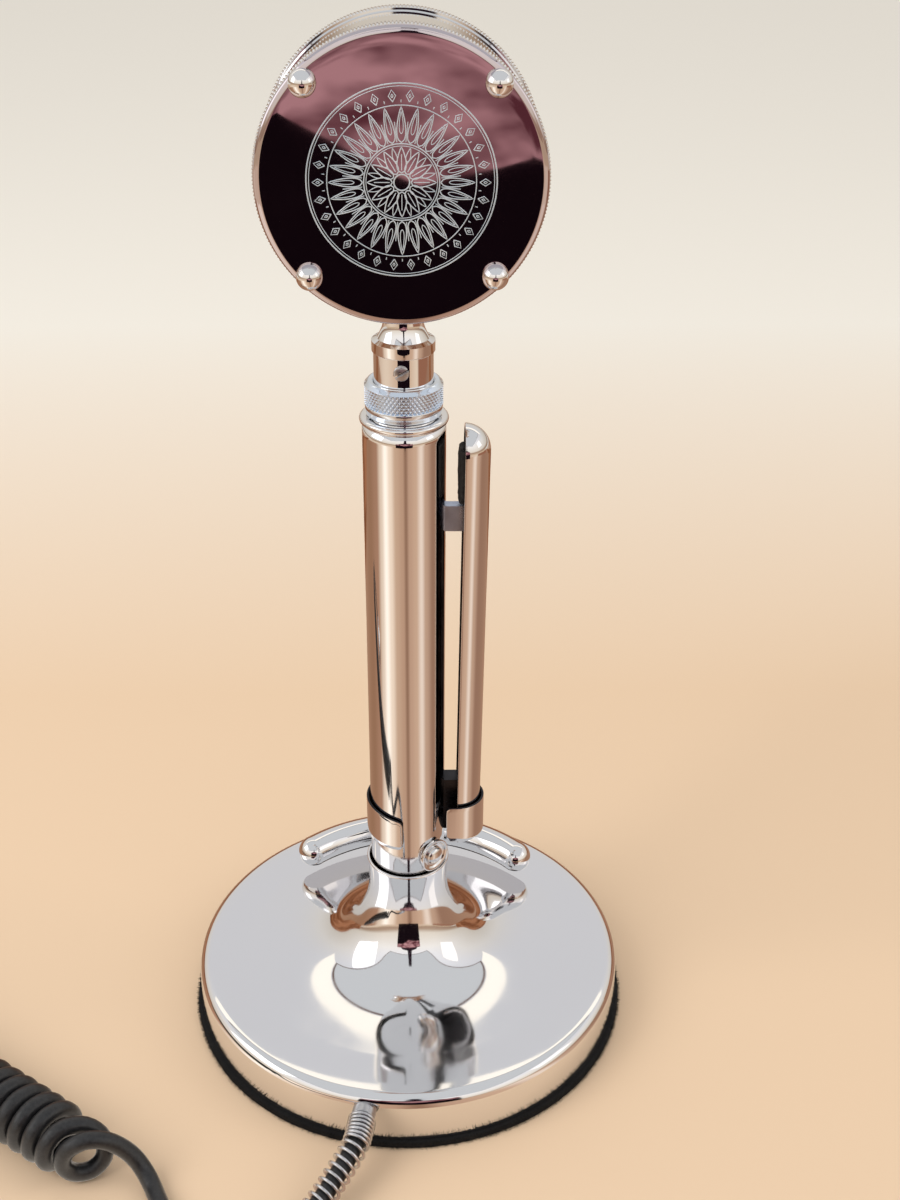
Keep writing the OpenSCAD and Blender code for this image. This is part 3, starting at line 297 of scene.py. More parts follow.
def node_of(tree, kind, **values):
    """A new shader node whose sockets are set or linked."""
    return feed(tree.nodes.new("ShaderNode" + kind), **values)


def own_space(tree):
    """The place in the object's own space."""
    return node_of(tree, "TexCoord").outputs["Object"]


def noise_of(tree, scale, detail=3.0, roughness=0.5, stretch=(1, 1, 1)):
    """Noise in the object's own space. stretch squeezes it along an axis, for grain or wiping marks."""
    place = own_space(tree)
    if stretch != (1, 1, 1):
        place = node_of(tree, "Mapping", Vector=place, Scale=stretch).outputs["Vector"]
    noise = node_of(tree, "TexNoise", Vector=place, Scale=scale, Detail=detail, Roughness=roughness)
    return noise.outputs["Fac"]


def spread(tree, value, low, high, start=0.3, end=0.7):
    """Maps a value to a range."""
    node = node_of(tree, "MapRange", Value=value, From_Min=start, From_Max=end, To_Min=low, To_Max=high)
    return node.outputs["Result"]


def ramp_of(tree, value, stops, way="LINEAR"):
    """Maps a value to colours. The stops are (place from 0 to 1, colour)."""
    node = node_of(tree, "ValToRGB", Fac=value)
    ramp = node.color_ramp
    ramp.interpolation = way
    for mark, (place, colour) in zip(ramp.elements, (stops[0], stops[-1])):
        mark.position, mark.color = place, (*colour, 1)
    for place, colour in stops[1:-1]:
        ramp.elements.new(place).color = (*colour, 1)
    return node.outputs["Color"]


def two_tone(tree, value, dark, light, start=0.35, end=0.65):
    """Maps a value to a mix of two colours."""
    return ramp_of(tree, value, [(start, dark), (end, light)])


def bump(tree, shader, value, distance, strength=1.0):
    """Small height, in metres."""
    node = node_of(tree, "Bump", Height=value, Strength=strength, Distance=distance)
    feed(shader, Normal=node.outputs["Normal"])


# %% [markdown]
# A finish starts with even values on the shader's own sockets. The chromes differ only in tint and haze: the
# head's back plate has a darkened, pinkish colour, a painted reflection of the dark things it mirrors; the
# knurled ring and the worn screws are the dullest.

# %% Polished chrome
def new_finish(name, colour, metallic=0.0, roughness=0.5):
    """A material, its tree and its main shader."""
    finish = bpy.data.materials.new(name)
    finish.use_nodes = True
    shader = finish.node_tree.nodes["Principled BSDF"]
    feed(shader, Base_Color=(*colour, 1), Metallic=metallic, Roughness=roughness)
    finish.diffuse_color = (*colour, 1)
    return finish, finish.node_tree, shader


def chrome_finish(name, colour, haze_low, haze_high):
    """Mirror metal whose haze drifts."""
    finish, tree, shader = new_finish(name, colour, 1.0, haze_low)
    feed(shader, Roughness=spread(tree, noise_of(tree, 45, 4, 0.6), haze_low, haze_high))
    return finish


chrome = chrome_finish("chrome", (0.83, 0.82, 0.825), 0.025, 0.075)
chrome_base = chrome_finish("chrome_base", (0.84, 0.83, 0.835), 0.03, 0.10)
chrome_ring = chrome_finish("chrome_ring", (0.76, 0.83, 0.93), 0.08, 0.15)
chrome_worn = chrome_finish("chrome_worn", (0.80, 0.79, 0.79), 0.13, 0.22)
# The back plate's colour is darkened and tinted pink: a painted reflection of the dark cards round it.
mirror_painted_dark = chrome_finish("mirror_painted_dark", (0.60, 0.54, 0.57), 0.02, 0.05)
mirror_painted_dark.diffuse_color = (0.2, 0.15, 0.17, 1)
print("haze of the chromes runs from 0.02 to 0.22")

# %% [markdown]
# The other metals are duller. Satin steel and brass have short brushed marks: a noise that is squeezed
# along one axis moves roughness and a very small bump. Cast iron is coarse and dark.

# %% Satin steel, aluminium, brass and iron
def brushed_finish(name, dark, light, low, high, stretch=(1, 1, 14), depth=0.00002, metallic=1.0):
    """Dull metal with drawn or brushed marks."""
    finish, tree, shader = new_finish(name, light, metallic, low)
    marks = noise_of(tree, 220, 3, 0.6, stretch)
    feed(shader, Roughness=spread(tree, marks, low, high),
         Base_Color=two_tone(tree, noise_of(tree, 60, 4), dark, light))
    bump(tree, shader, marks, depth, 0.5)
    return finish


steel = brushed_finish("satin_steel", (0.42, 0.42, 0.44), (0.60, 0.60, 0.62), 0.22, 0.40)
spring_steel = brushed_finish("spring_steel", (0.50, 0.50, 0.52), (0.74, 0.74, 0.76), 0.14, 0.28)
tab_steel = brushed_finish("tab_steel", (0.32, 0.37, 0.50), (0.60, 0.68, 0.84), 0.22, 0.40, (1, 9, 1))
aluminium = brushed_finish("satin_aluminium", (0.66, 0.66, 0.67), (0.80, 0.80, 0.81), 0.28, 0.45)
brass = brushed_finish("leaf_brass", (0.60, 0.44, 0.18), (0.82, 0.64, 0.30), 0.20, 0.38, (14, 1, 1))
engraved_silver = brushed_finish(
    "engraved_silver", (0.50, 0.60, 0.70), (0.66, 0.76, 0.86), 0.25, 0.50, metallic=0.45
)
iron = brushed_finish("cast_iron", (0.07, 0.07, 0.075), (0.16, 0.16, 0.17), 0.55, 0.80, (1, 1, 1), 0.00015)
# Near-black steel: the real dark paint of the lug, and painted shade on the insides of the grip bar and the
# strap.
blackened_and_painted_shade = brushed_finish("blackened_steel_and_painted_shade", (0.012, 0.012, 0.014), (0.045, 0.044, 0.05), 0.22, 0.42)
print("dull metals:", steel.name, spring_steel.name, tab_steel.name, aluminium.name, brass.name, iron.name)

# %% [markdown]
# Rubber, felt and moulded phenolic are not metal. Rubber is a very dark satin with fine grain, felt is
# matte with long soft noise, and the old brown phenolic has a faint marble.

# %% Rubber, felt, phenolic and crystal
def soft_finish(name, dark, light, low, high, scale, depth):
    """Rubber, felt and the like: two tones, drifting roughness and a fine grain."""
    finish, tree, shader = new_finish(name, light, 0.0, high)
    grain = noise_of(tree, scale, 5, 0.65)
    feed(shader, Base_Color=two_tone(tree, grain, dark, light),
         Roughness=spread(tree, noise_of(tree, scale / 12, 3), low, high))
    bump(tree, shader, grain, depth, 0.7)
    return finish


cord_rubber = soft_finish("cord_rubber", (0.009, 0.009, 0.010), (0.020, 0.020, 0.022), 0.30, 0.46, 900, 3e-5)
bumper_rubber = soft_finish(
    "bumper_rubber", (0.008, 0.008, 0.009), (0.022, 0.021, 0.022), 0.55, 0.8, 700, 1e-4
)
felt = soft_finish("black_felt", (0.0015, 0.0015, 0.0018), (0.006, 0.0055, 0.006), 0.9, 1.0, 1500, 3e-4)
phenolic = soft_finish("brown_phenolic", (0.10, 0.040, 0.018), (0.22, 0.10, 0.045), 0.25, 0.42, 180, 1e-5)
crystal = soft_finish("salt_crystal", (0.62, 0.60, 0.52), (0.82, 0.80, 0.72), 0.2, 0.5, 150, 4e-5)
print("soft finishes:", cord_rubber.name, bumper_rubber.name, felt.name, phenolic.name, crystal.name)

# %% [markdown]
# The cloth behind the grille is dark, and shows only in the holes. A wave gives it its threads.

# %% Woven grille cloth
grille_weave, tree, shader = new_finish("grille_weave", (0.03, 0.03, 0.035), 0.0, 0.8)
threads = node_of(tree, "TexWave", Vector=own_space(tree), Scale=900, Distortion=1.5)
feed(shader, Base_Color=two_tone(tree, threads.outputs["Fac"], (0.012, 0.012, 0.014), (0.07, 0.07, 0.08)))
bump(tree, shader, threads.outputs["Fac"], 0.0002)
print("weave scale:", threads.inputs["Scale"].default_value)

# %% [markdown]
# # Base
# The base is one spun shell: a straight wall, a rounded shoulder, a flat top like a plate, and a bell that
# rises from it to hold the column. Its line is drawn once and spun round. Behind, the arm of the press
# bar goes in through a slot, so those cells of the mesh are left open. The shell gets its thickness from a
# Solidify modifier, which also gives the slot its edges.

# %% Line of the spun base
bell_foot = about(BELL_FOOT_R, PLATE_Z, (0, 0), (-10, 0.3), (-20, 1.2), (-28, 3.7), (-32.6, 6.7),
                  (-36, 9.9), (-38.5, 12.8), (-41.2, 17.5))
bell_waist = about(WAIST_R, PLATE_Z, (0.6, 24.5), (0, 30)) + [(WAIST_R + 0.2, LIP_Z - 4.5)]
bell = even_spline(bell_foot + bell_waist + [(COLUMN_R + LIP_GAP + COVER_T, LIP_Z - 0.5)], 6)
shoulder = arc(BASE_R - BASE_DRAFT - SHOULDER_R, PLATE_Z - SHOULDER_R, SHOULDER_R, 0, math.pi / 2, 13)
foot = about(BASE_R, FELT_T, (-0.5, 0), (-0.12, 0.12), (0, 0.5))
lip = arc(COLUMN_R + LIP_GAP + 0.5, LIP_Z - 0.5, 0.5, 0.4, math.pi, 6)
cover_line = foot + shoulder + [(r, PLATE_Z) for r in (68, 64, 60.5)] + [tuple(p) for p in bell] + lip
print("base line has", len(cover_line), "points")

# %% [markdown]
# The slot goes through the bell behind the column. The faces whose middle lies in it are not used.

# %% Spin the base and leave the arm's slot open
ARM_Z = PLATE_Z + 8.2
SLOT_LOW, SLOT_HIGH, SLOT_HALF = ARM_Z - 3.7, ARM_Z + 2.1, 5.0
cover_points, cover_faces = spun(cover_line, 256, closed=False)


def in_slot(face):
    """True for a cell of the bell that the press bar's arm passes through."""
    x, y, z = np.mean([cover_points[i] for i in face], axis=0)
    return abs(x) < SLOT_HALF and 15 < y < 40 and SLOT_LOW < z < SLOT_HIGH


def thicken(piece, thickness, offset=-1, back=0, rim=0):
    """Gives a sheet its thickness. back and rim are the numbers of the finishes there."""
    wall = piece.modifiers.new("wall", "SOLIDIFY")
    wall.thickness, wall.offset = thickness * MM, offset
    wall.material_offset, wall.material_offset_rim = back, rim


kept_faces = [f for f in cover_faces if not in_slot(f)]
base_shell = mesh_piece("base_shell", cover_points, kept_faces, chrome_base, 60)
thicken(base_shell, 0.9)
fit(base_shell, "stand", "chrome", "base_cover")
print("slot cells left open:", len(cover_faces) - len(kept_faces))

# %% [markdown]
# The felt under the base is a thick black ring with a worn, fuzzy edge. A smooth ring would look like
# rubber. So the ring's edge is made uneven, and 4,800 short fibres stand out of it, each a thin
# three-sided sliver that bends a little.

# %% Felt ring
rng = np.random.default_rng(7)
felt_line = rounded([
    (FELT_R - FELT_W, 0), (FELT_R, 0), (FELT_R, FELT_T - 0.1), (FELT_R - FELT_W, FELT_T - 0.1)
], [0.2, 0.9, 0.9, 0.2], 4)
felt_bumps = rng.normal(0, 1, (24, 3))


def felt_edge(angle, r, z):
    """Uneven outer edge: a few slow waves and many quick ones."""
    if r < FELT_R - 3:
        return np.full(len(angle), r)
    slow = sum(0.1 * b[0] * np.sin(k * angle + 6 * b[1]) / (1 + k / 5) for k, b in enumerate(felt_bumps, 2))
    quick = 0.07 * np.sin(97 * angle + 9 * z) + 0.06 * np.sin(211 * angle - 5 * z)
    return r - 0.35 + slow * 0.5 + (quick + 0.05 * np.sin(389 * angle))


felt_ring = turned("felt_ring_soft", felt_line, felt, 60, steps=1152, wave=felt_edge)
fit(felt_ring, "stand", "felt", "felt_ring")

# %% [markdown]
# A fibre starts a little inside the ring's edge, so none of them floats. All lengths and leans are drawn
# from one seeded generator.

# %% Fibres on the felt's edge
FIBRE_W = 0.055


def fibre(angle, z, length, lean, rise):
    """One sliver: a root triangle, a middle triangle and a tip."""
    out = np.array([math.cos(angle), math.sin(angle), 0])
    side = np.array([-math.sin(angle), math.cos(angle), 0])
    rising = np.array([0, 0, 1])
    root = out * (FELT_R - 0.7) + rising * z
    mid = root + out * length * 0.55 + side * lean * 0.3 + rising * rise * 0.4
    tip = root + out * length * 0.95 + side * lean + rising * rise
    tip[2] = np.clip(tip[2], 0.08, FELT_T + 0.5)
    points = []
    for centre, w in ((root, FIBRE_W * 1.4), (mid, FIBRE_W)):
        points += [centre + side * w, centre - side * w / 2 + rising * w, centre - side * w / 2 - rising * w]
    faces = [(0, 2, 1), (3, 4, 6), (4, 5, 6), (5, 3, 6)]
    faces += [(k, (k + 1) % 3, 3 + (k + 1) % 3, 3 + k) for k in range(3)]
    return points + [tip], faces


FIBRES = 4800
fibres = [
    fibre(a, z, length, lean, rise)
    for a, z, length, lean, rise in zip(
        rng.uniform(0, 2 * math.pi, FIBRES), rng.uniform(0.25, FELT_T - 0.15, FIBRES),
        rng.uniform(0.6, 1.7, FIBRES), rng.normal(0, 0.5, FIBRES), rng.normal(0, 0.22, FIBRES)
    )
]
felt_fuzz = mesh_piece("felt_fuzz", *joined(*fibres), felt, 180)
fit(felt_fuzz, "stand", "felt")

# %% [markdown]
# # Column
# The column is a plain polished tube with a slot on the grip's side, where the tab goes in. It is made as a
# grid of cells round the tube whose lines fall on the slot's edges, and the slot's cells are left out.

# %% Column tube with its slot
TAB_Z, TAB_H, TAB_W = 192.8, 8.6, 3.7
slot_half = math.degrees(math.asin((TAB_W / 2 + 0.4) / COLUMN_R))
slot_low, slot_high = TAB_Z - TAB_H / 2 - 0.9, TAB_Z + TAB_H / 2 + 0.9
SLOT_COLUMNS, ROWS_BELOW, SLOT_ROWS = 6, 23, 3
around = np.radians(np.concatenate([
    np.linspace(-slot_half, slot_half, SLOT_COLUMNS + 1), np.linspace(slot_half, 360 - slot_half, 250)[1:-1]
]))
heights = np.concatenate([
    np.linspace(COLUMN_FOOT_Z, slot_low, ROWS_BELOW + 1), np.linspace(slot_low, slot_high, SLOT_ROWS + 1)[1:],
    np.linspace(slot_high, COLUMN_TOP, 8)[1:],
])
tube_points = [(COLUMN_R * math.cos(a), COLUMN_R * math.sin(a), z) for z in heights for a in around]
tube_faces = [
    face for face in grid_faces(len(heights), len(around), close_columns=True)
    if face[0] % len(around) >= SLOT_COLUMNS or not 0 <= face[0] // len(around) - ROWS_BELOW < SLOT_ROWS
]
column = mesh_piece("column", tube_points, tube_faces, chrome, 60)
thicken(column, COLUMN_T)
fit(column, "stand", "chrome", "column_tube")

# %% [markdown]
# The collar closes the column's top with a rolled lip, and carries the thread of the lock ring.

# %% Collar
SPIGOT_Z = COLUMN_TOP + LIP_H + 7.6
THREAD_R = NECK_R + 1.1
collar_bore = NECK_R - 1.5 + 0.3
rolled_lip = arc(LIP_R - LIP_H / 2, COLUMN_TOP + LIP_H / 2, LIP_H / 2, -math.pi / 2, math.pi / 2, 13)
collar_line = [
    (collar_bore, COLUMN_TOP - 10), (COLUMN_R - COLUMN_T - 0.05, COLUMN_TOP - 10),
    (COLUMN_R - COLUMN_T - 0.05, COLUMN_TOP), *rolled_lip,
    (THREAD_R + 1.2, COLUMN_TOP + LIP_H - 0.1), (THREAD_R + 0.9, COLUMN_TOP + LIP_H - 0.5),
    (THREAD_R, COLUMN_TOP + LIP_H - 0.5), (THREAD_R, SPIGOT_Z), (collar_bore, SPIGOT_Z),
]
fit(turned("collar", collar_line, chrome), "stand", "chrome", "column_collar")

# %% [markdown]
# The lock ring's grip is a diamond knurl. A bump map would vanish at the ring's outline, so each diamond is
# real: where two slanting families of grooves cross, the radius drops.

# %% Knurled lock ring
KNURL_COUNT, KNURL_LOW, KNURL_HIGH, KNURL_DEPTH = 54, RING_Z + 3.6, RING_TOP_Z - 1.3, 0.8
knurl_pitch = 2 * math.pi * RING_R / KNURL_COUNT


def knurl(angle, r, z):
    """Flat-topped diamonds between two families of slanting grooves."""
    if r < RING_R - 1e-6 or not KNURL_LOW < z < KNURL_HIGH:
        return np.full(len(angle), r)
    along = angle * KNURL_COUNT / (2 * math.pi)
    climb = (z - KNURL_LOW) / knurl_pitch * 0.75
    ridges = [1 - np.abs(2 * np.mod(along + s * climb, 1) - 1) for s in (1, -1)]
    return r - KNURL_DEPTH * (1 - np.clip(1.25 * np.minimum(*ridges), 0, 1))


knurl_rows = [(RING_R, z) for z in np.linspace(KNURL_LOW - 0.01, KNURL_HIGH + 0.01, 64)]
ring_line = [(THREAD_R + 0.1, RING_Z)]
ring_line += about(RING_R, RING_Z, (-0.9, 0), (-0.5, 0.4), (-0.4, 1.8), (-0.15, 2.2), (-0.1, 3.2))
ring_line += about(RING_R, KNURL_LOW, (-0.2, -0.2)) + knurl_rows + about(RING_R, KNURL_HIGH, (-0.1, 0.15))
ring_line += about(RING_R, RING_TOP_Z, (-0.45, -0.9), (-0.8, -0.3), (-1.3, 0))
ring_line += about(NECK_R, RING_TOP_Z, (0.5, -0.1), (0.1, -0.5), (0.1, -1.6))
ring_line += [(THREAD_R + 0.1, RING_TOP_Z - 1.6)]
lock_ring = turned("knurled_ring", ring_line, chrome_ring, 30, steps=KNURL_COUNT * 12, wave=knurl)
fit(lock_ring, "lock_ring", "chrome", "lock_ring")

# %% [markdown]
# # Neck
# The neck turns with the head. It is a plain cylinder with a wider band at its top and a waisted stem that
# runs up into the head's case.

# %% Neck
neck_floor = NECK_TOP_Z - 5
STEM_TOP = DOME_H + 1.6
stem = even_spline(about(
    NECK_R, NECK_TOP_Z, (-1.2, 0.6), (-1.9, 2), (-2.7, 4), (-3, 6.2), (-2.7, 8.6), (-1.6, STEM_TOP)
), 5)
neck_line = [(NECK_R - 1.5, SPIGOT_Z)] + about(THREAD_R - 0.1, SPIGOT_Z, (0, 0), (0, 0.7))
neck_line += [(NECK_R, SPIGOT_Z + 0.7)]
neck_line += about(NECK_R, NECK_TOP_Z - BAND_H, (0, -0.15), (-0.18, -0.05), (0.5, 0.1), (0.5, BAND_H))
neck_line = rounded(neck_line, 0.18) + stem
neck_line += [(5, NECK_TOP_Z + STEM_TOP), (5, neck_floor), (NECK_R - 1.5, neck_floor)]
fit(turned("neck", neck_line, chrome), "head", "chrome", "head_neck")

# %% [markdown]
# A small slotted screw sits in the neck's back. Its slot is cut with a Boolean modifier that is applied at
# once, so that no cutter stays in the scene.

# %% Slotted neck screw
SCREW_R, SCREW_X, SCREW_Z = 2.3, -0.7, RING_TOP_Z + 4.9
TO_BACK = Matrix.Rotation(math.radians(90), 3, "X")
screw_line = [(0, 0), (SCREW_R, 0), (SCREW_R, 0.45), (SCREW_R - 0.12, 0.62)]
screw_line += [(SCREW_R * s, 0.62 + 0.34 * (1 - s * s)) for s in np.linspace(0.9, 0, 8)]
neck_screw = turned("neck_screw_head", screw_line, steel, 30, TO_BACK, (SCREW_X, -NECK_R + 0.1, SCREW_Z),
                    steps=64, closed=False)


def cut_with(piece, points, faces, name):
    """Cuts a shape out of a piece and drops the cutter."""
    cutter = mesh_piece(name, points, faces, piece.data.materials[0])
    cut = piece.modifiers.new(name, "BOOLEAN")
    cut.object, cut.operation, cut.solver = cutter, "DIFFERENCE", "EXACT"
    bpy.context.view_layer.update()
    result = bpy.data.meshes.new_from_object(piece.evaluated_get(bpy.context.evaluated_depsgraph_get()))
    piece.modifiers.remove(cut)
    piece.data = result
    bpy.data.objects.remove(cutter)


def brick(low, high, turn=Matrix.Identity(3), centre=(0, 0, 0)):
    """A block between two corners, turned about the centre point."""
    corners = [(x, y, z) for x in (low[0], high[0]) for y in (low[1], high[1]) for z in (low[2], high[2])]
    faces = [(0, 1, 3, 2), (4, 6, 7, 5), (0, 4, 5, 1), (2, 3, 7, 6), (0, 2, 6, 4), (1, 5, 7, 3)]
    return moved(corners, turn, centre), faces


slot_turn = Matrix.Rotation(math.radians(-28), 3, "Y")
slot_brick = brick((-4, -1.4, -0.33), (4, 1.5, 0.33), slot_turn, (SCREW_X, -NECK_R - 1.1, SCREW_Z))
cut_with(neck_screw, *slot_brick, "slot")
fit(neck_screw, "head", "steel", "neck_screw")

# %% [markdown]
# # Head
# The head is a drum with a plate on each side. Both rims of the drum are finely reeded, and that toothed
# edge draws a dotted line round the plate. There are some 250 teeth, so the drum is spun with many steps
# and a wave that moves only the two rims.

# %% Drum with reeded rims
CASE_R, CASE_T, HALF = HEAD_R - 1.3, 1.6, HEAD_DEPTH / 2
TEETH, TOOTH = 252, 0.5


def reeding(angle, r, z):
    """Straight teeth on the rims only."""
    if r < HEAD_R - 0.3:
        return np.full(len(angle), r)
    return r - TOOTH * 0.5 * (1 - np.cos(TEETH * angle))


def rim(z_low, z_high):
    """Outer line of one rim, from low to high."""
    return [
        (CASE_R, z_low), (HEAD_R - 0.5, z_low), (HEAD_R, z_low + 0.45),
        (HEAD_R, (z_low + z_high) / 2), (HEAD_R, z_high - 0.45), (HEAD_R - 0.5, z_high),
    ]


drum_line = rim(-HALF, -HALF + RIM_W)[1:] + [(CASE_R + 0.25, -HALF + RIM_W), (CASE_R, -HALF + RIM_W + 0.25)]
drum_line += [(CASE_R, HALF - RIM_W - 0.25), (CASE_R + 0.25, HALF - RIM_W)] + rim(HALF - RIM_W, HALF)[1:]
drum_line += [(CASE_R - CASE_T, HALF), (CASE_R - CASE_T, -HALF)]
HEAD_PLACE = (0, 0, HEAD_Z)
drum = turned("head_drum", drum_line, chrome, 42, TO_BACK, HEAD_PLACE, steps=TEETH * 8, wave=reeding)
fit(drum, "head", "chrome", "head_case")

# %% [markdown]
# The back plate is a thin polished disc. It isn't quite flat: towards its rim it falls away gently, so the
# dark card that it mirrors gives way to light there, in a soft edge. Its colour is darkened: a painted
# reflection of the dark things it mirrors, on top of the real mirroring.

# %% Back plate
PLATE_R, PLATE_FACE = HEAD_R - 0.4, HALF + PLATE_T
FALL, FALL_FROM = 0.07, 34.5
plate_line = [(0, HALF), (PLATE_R, HALF), (PLATE_R, PLATE_FACE - 1.45)]
plate_line += arc(PLATE_R - 1.15, PLATE_FACE - 1.45, 1.15, 0.2, math.pi / 2 - 0.12, 8, rise=1.1)
plate_line += [
    (r, PLATE_FACE - FALL * max(0, (r - FALL_FROM) / (PLATE_R - 1.1 - FALL_FROM)) ** 2.2)
    for r in np.concatenate([np.linspace(PLATE_R - 1.5, 32, 16), [26, 18, 9, 0]])
]
back_plate = turned("back_plate", plate_line, mirror_painted_dark, 50, TO_BACK, HEAD_PLACE, steps=256, closed=False)
fit(back_plate, "head", "mirror_plate", "rear_plate")

# %% [markdown]
# The plate is engraved. The design here is a plain rosette: rings, two rows of long petals, a small flower
# and a ring of lozenges. Each line is a narrow ridge with a rounded back, a twentieth of a millimetre high,
# in bright metal, so it glitters against the dark mirror as cut lines do.

# %% Lines of the rosette
def petal(r_low, r_high, width):
    """Outline of one long petal that points away from the middle, in complex numbers."""
    t = np.linspace(0, 1, 15)
    half = width / 2 * np.sin(math.pi * t ** 0.62) ** 0.8
    r = r_low + (r_high - r_low) * t
    return np.concatenate([r + 1j * half, (r - 1j * half)[::-1][1:]])


def vein(r_low, r_high):
    """The straight line in a petal's middle."""
    return np.linspace(r_low, r_high, 3) + 0j


def lozenge(r, long, short):
    """A small four-sided figure on a circle."""
    return r + np.array([-long, 1j * short, long, -1j * short, -long])


def turns(count, shift=0.0):
    """Evenly spaced angles round the plate."""
    return [2 * math.pi * (k + shift) / count for k in range(count)]


CIRCLES = ((25.4, 0.30), (24.7, 0.16), (19.9, 0.22), (10.1, 0.26), (9.5, 0.16), (2.1, 0.3))
FIGURES = (
    (petal(10.4, 19.5, 2.35), 0.24, turns(28)), (petal(12.6, 18.4, 1.05), 0.16, turns(28)),
    (vein(10.6, 15.8), 0.18, turns(28, 0.5)), (petal(2.5, 9.2, 2.5), 0.24, turns(12)),
    (vein(3.2, 7.4), 0.18, turns(12)), (petal(5.6, 9.2, 1.15), 0.18, turns(12, 0.5)),
    (lozenge(22.3, 1.5, 0.95), 0.22, turns(30)), (lozenge(22.3, 0.5, 0.3), 0.2, turns(30)),
    (vein(20.6, 21.3), 0.2, turns(30, 0.5)),
)
rosette = [(r * np.exp(1j * np.linspace(0, 2 * math.pi, 161)), width) for r, width in CIRCLES]
rosette += [(shape * np.exp(1j * a), width) for shape, width, angles in FIGURES for a in angles]
print("engraved lines:", len(rosette))

# %% [markdown]
# In section, a ridge is four points: two feet just under the plate's face, and a back between them.

# %% Ridges of the rosette
LINE_GAIN, LINE_HEIGHT = 1.35, 0.05


def ridge(line, width):
    """A narrow ridge along a line in the plate's plane."""
    way = np.gradient(line)
    side = 1j * way / (np.abs(way) + 1e-9) * width / 2
    rows = []
    for share, height in ((-1, -0.01), (-0.45, LINE_HEIGHT * 0.85), (0.45, LINE_HEIGHT), (1, -0.01)):
        row = line + side * share
        rows.append(np.column_stack([row.real, row.imag, np.full(len(line), PLATE_FACE + height)]))
    return np.concatenate(rows), grid_faces(4, len(line))


rosette_points, rosette_faces = joined(*[ridge(line, width * LINE_GAIN) for line, width in rosette])
rosette_points = moved(rosette_points, TO_BACK, HEAD_PLACE)
fit(mesh_piece("engraving", rosette_points, rosette_faces, engraved_silver, 60), "head", "mirror_plate")

# %% [markdown]
# Eight ball-headed screws hold the two plates. A ball mirrors everything round it in a small disc, so each
# looks lively. They are made in fours, at the corners of a square round the head's axis.

# %% Ball screws
BALL_R, SCREW_CIRCLE = 3.7, HEAD_R - 4
FRONT_FACE = HALF + 2.5
TO_FRONT = Matrix.Rotation(math.radians(-90), 3, "X")


def four_screws(name, face, turn, node):
    """Four balls, each on a short foot that stands on the face."""
    ball_line = [(0, face - 0.3), (BALL_R * 0.97, face - 0.3)]
    ball_line += arc(0, face + BALL_R * 0.2, BALL_R, -0.2, math.pi / 2, 22)
    points, faces = spun(ball_line, 72, closed=False)
    corners = [(SCREW_CIRCLE * math.cos(a), SCREW_CIRCLE * math.sin(a), 0) for a in turns(4, 0.5)]
    points, faces = joined(*[(moved(points, to=corner), faces) for corner in corners])
    fit(mesh_piece(name, moved(points, turn, HEAD_PLACE), faces, chrome), "head", "chrome", node)


four_screws("ball_screws_back", PLATE_FACE - 0.15, TO_BACK, "rear_screws")
four_screws("ball_screws_front", FRONT_FACE, TO_FRONT, "front_screws")

# %% [markdown]
# The front has a broad ring round the grille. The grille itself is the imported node, with its drilled holes.

# %% Front ring
GRILLE_R = 30.5
front_line = rounded([
    (GRILLE_R, FRONT_FACE - 1.4), (GRILLE_R + 2, FRONT_FACE - 1.4), (GRILLE_R + 2, HALF), (PLATE_R, HALF),
    (PLATE_R, FRONT_FACE), (GRILLE_R, FRONT_FACE),
], [0.1, 0.1, 0.1, 0.1, 1.2, 0.9], 6)
front_ring = turned("front_rim", front_line, chrome, 42, TO_FRONT, HEAD_PLACE, steps=256)
fit(front_ring, "head", "chrome", "front_ring")

# %% [markdown]
# # Grip
# The squeeze grip is a half-round bar of sheet metal. Its open side faces the column and its top is closed
# by a quarter of a ball. A grid that is bent over that shape and thickened inwards gives it real edges. It
# leans out by a little over half a degree, about its pin. Its inside is near black: painted shade for the
# shadowed inside of the channel.

# %% Grip bar
def leaning(points):
    """Turns points of the grip about its pin, as the grip leans at rest."""
    lean = Matrix.Rotation(GRIP_LEAN, 3, "Y")
    return moved(moved(points, to=-PIVOT), lean, PIVOT)


def rounded_edges(piece, width, segments=3, limit_deg=50):
    """Bevels the sharp edges of a piece."""
    bevel = piece.modifiers.new("edge", "BEVEL")
    bevel.width, bevel.segments, bevel.angle_limit = width * MM, segments, math.radians(limit_deg)


BALL_Z = GRIP_TOP_Z - GRIP_R
bar_angles = np.linspace(-math.pi / 2, math.pi / 2, 41)
bar_rows = [(z, 1.0) for z in np.linspace(GRIP_FOOT_Z, BALL_Z, 60)]
bar_rows += [(BALL_Z + GRIP_R * math.sin(e), math.cos(e)) for e in np.linspace(0, math.pi / 2, 21)[1:]]
bar_points = [
    (GRIP_EDGE_X + GRIP_R * share * math.cos(a), GRIP_R * share * math.sin(a), z)
    for z, share in bar_rows for a in bar_angles
]
bar_faces = grid_faces(len(bar_rows), len(bar_angles))
grip_bar = mesh_piece("grip_shell", leaning(bar_points), bar_faces, chrome, 50)
# The second finish, on the inside, is near black: painted shade of the channel's inside.
grip_bar.data.materials.append(blackened_and_painted_shade)
thicken(grip_bar, 1.0, back=1)
rounded_edges(grip_bar, 0.22)
fit(grip_bar, "grip", "chrome", "grip_bar")

# %% [markdown]
# Near its top the bar holds a block of black rubber, worn and a little lumpy. At full squeeze it nearly
# meets the column.

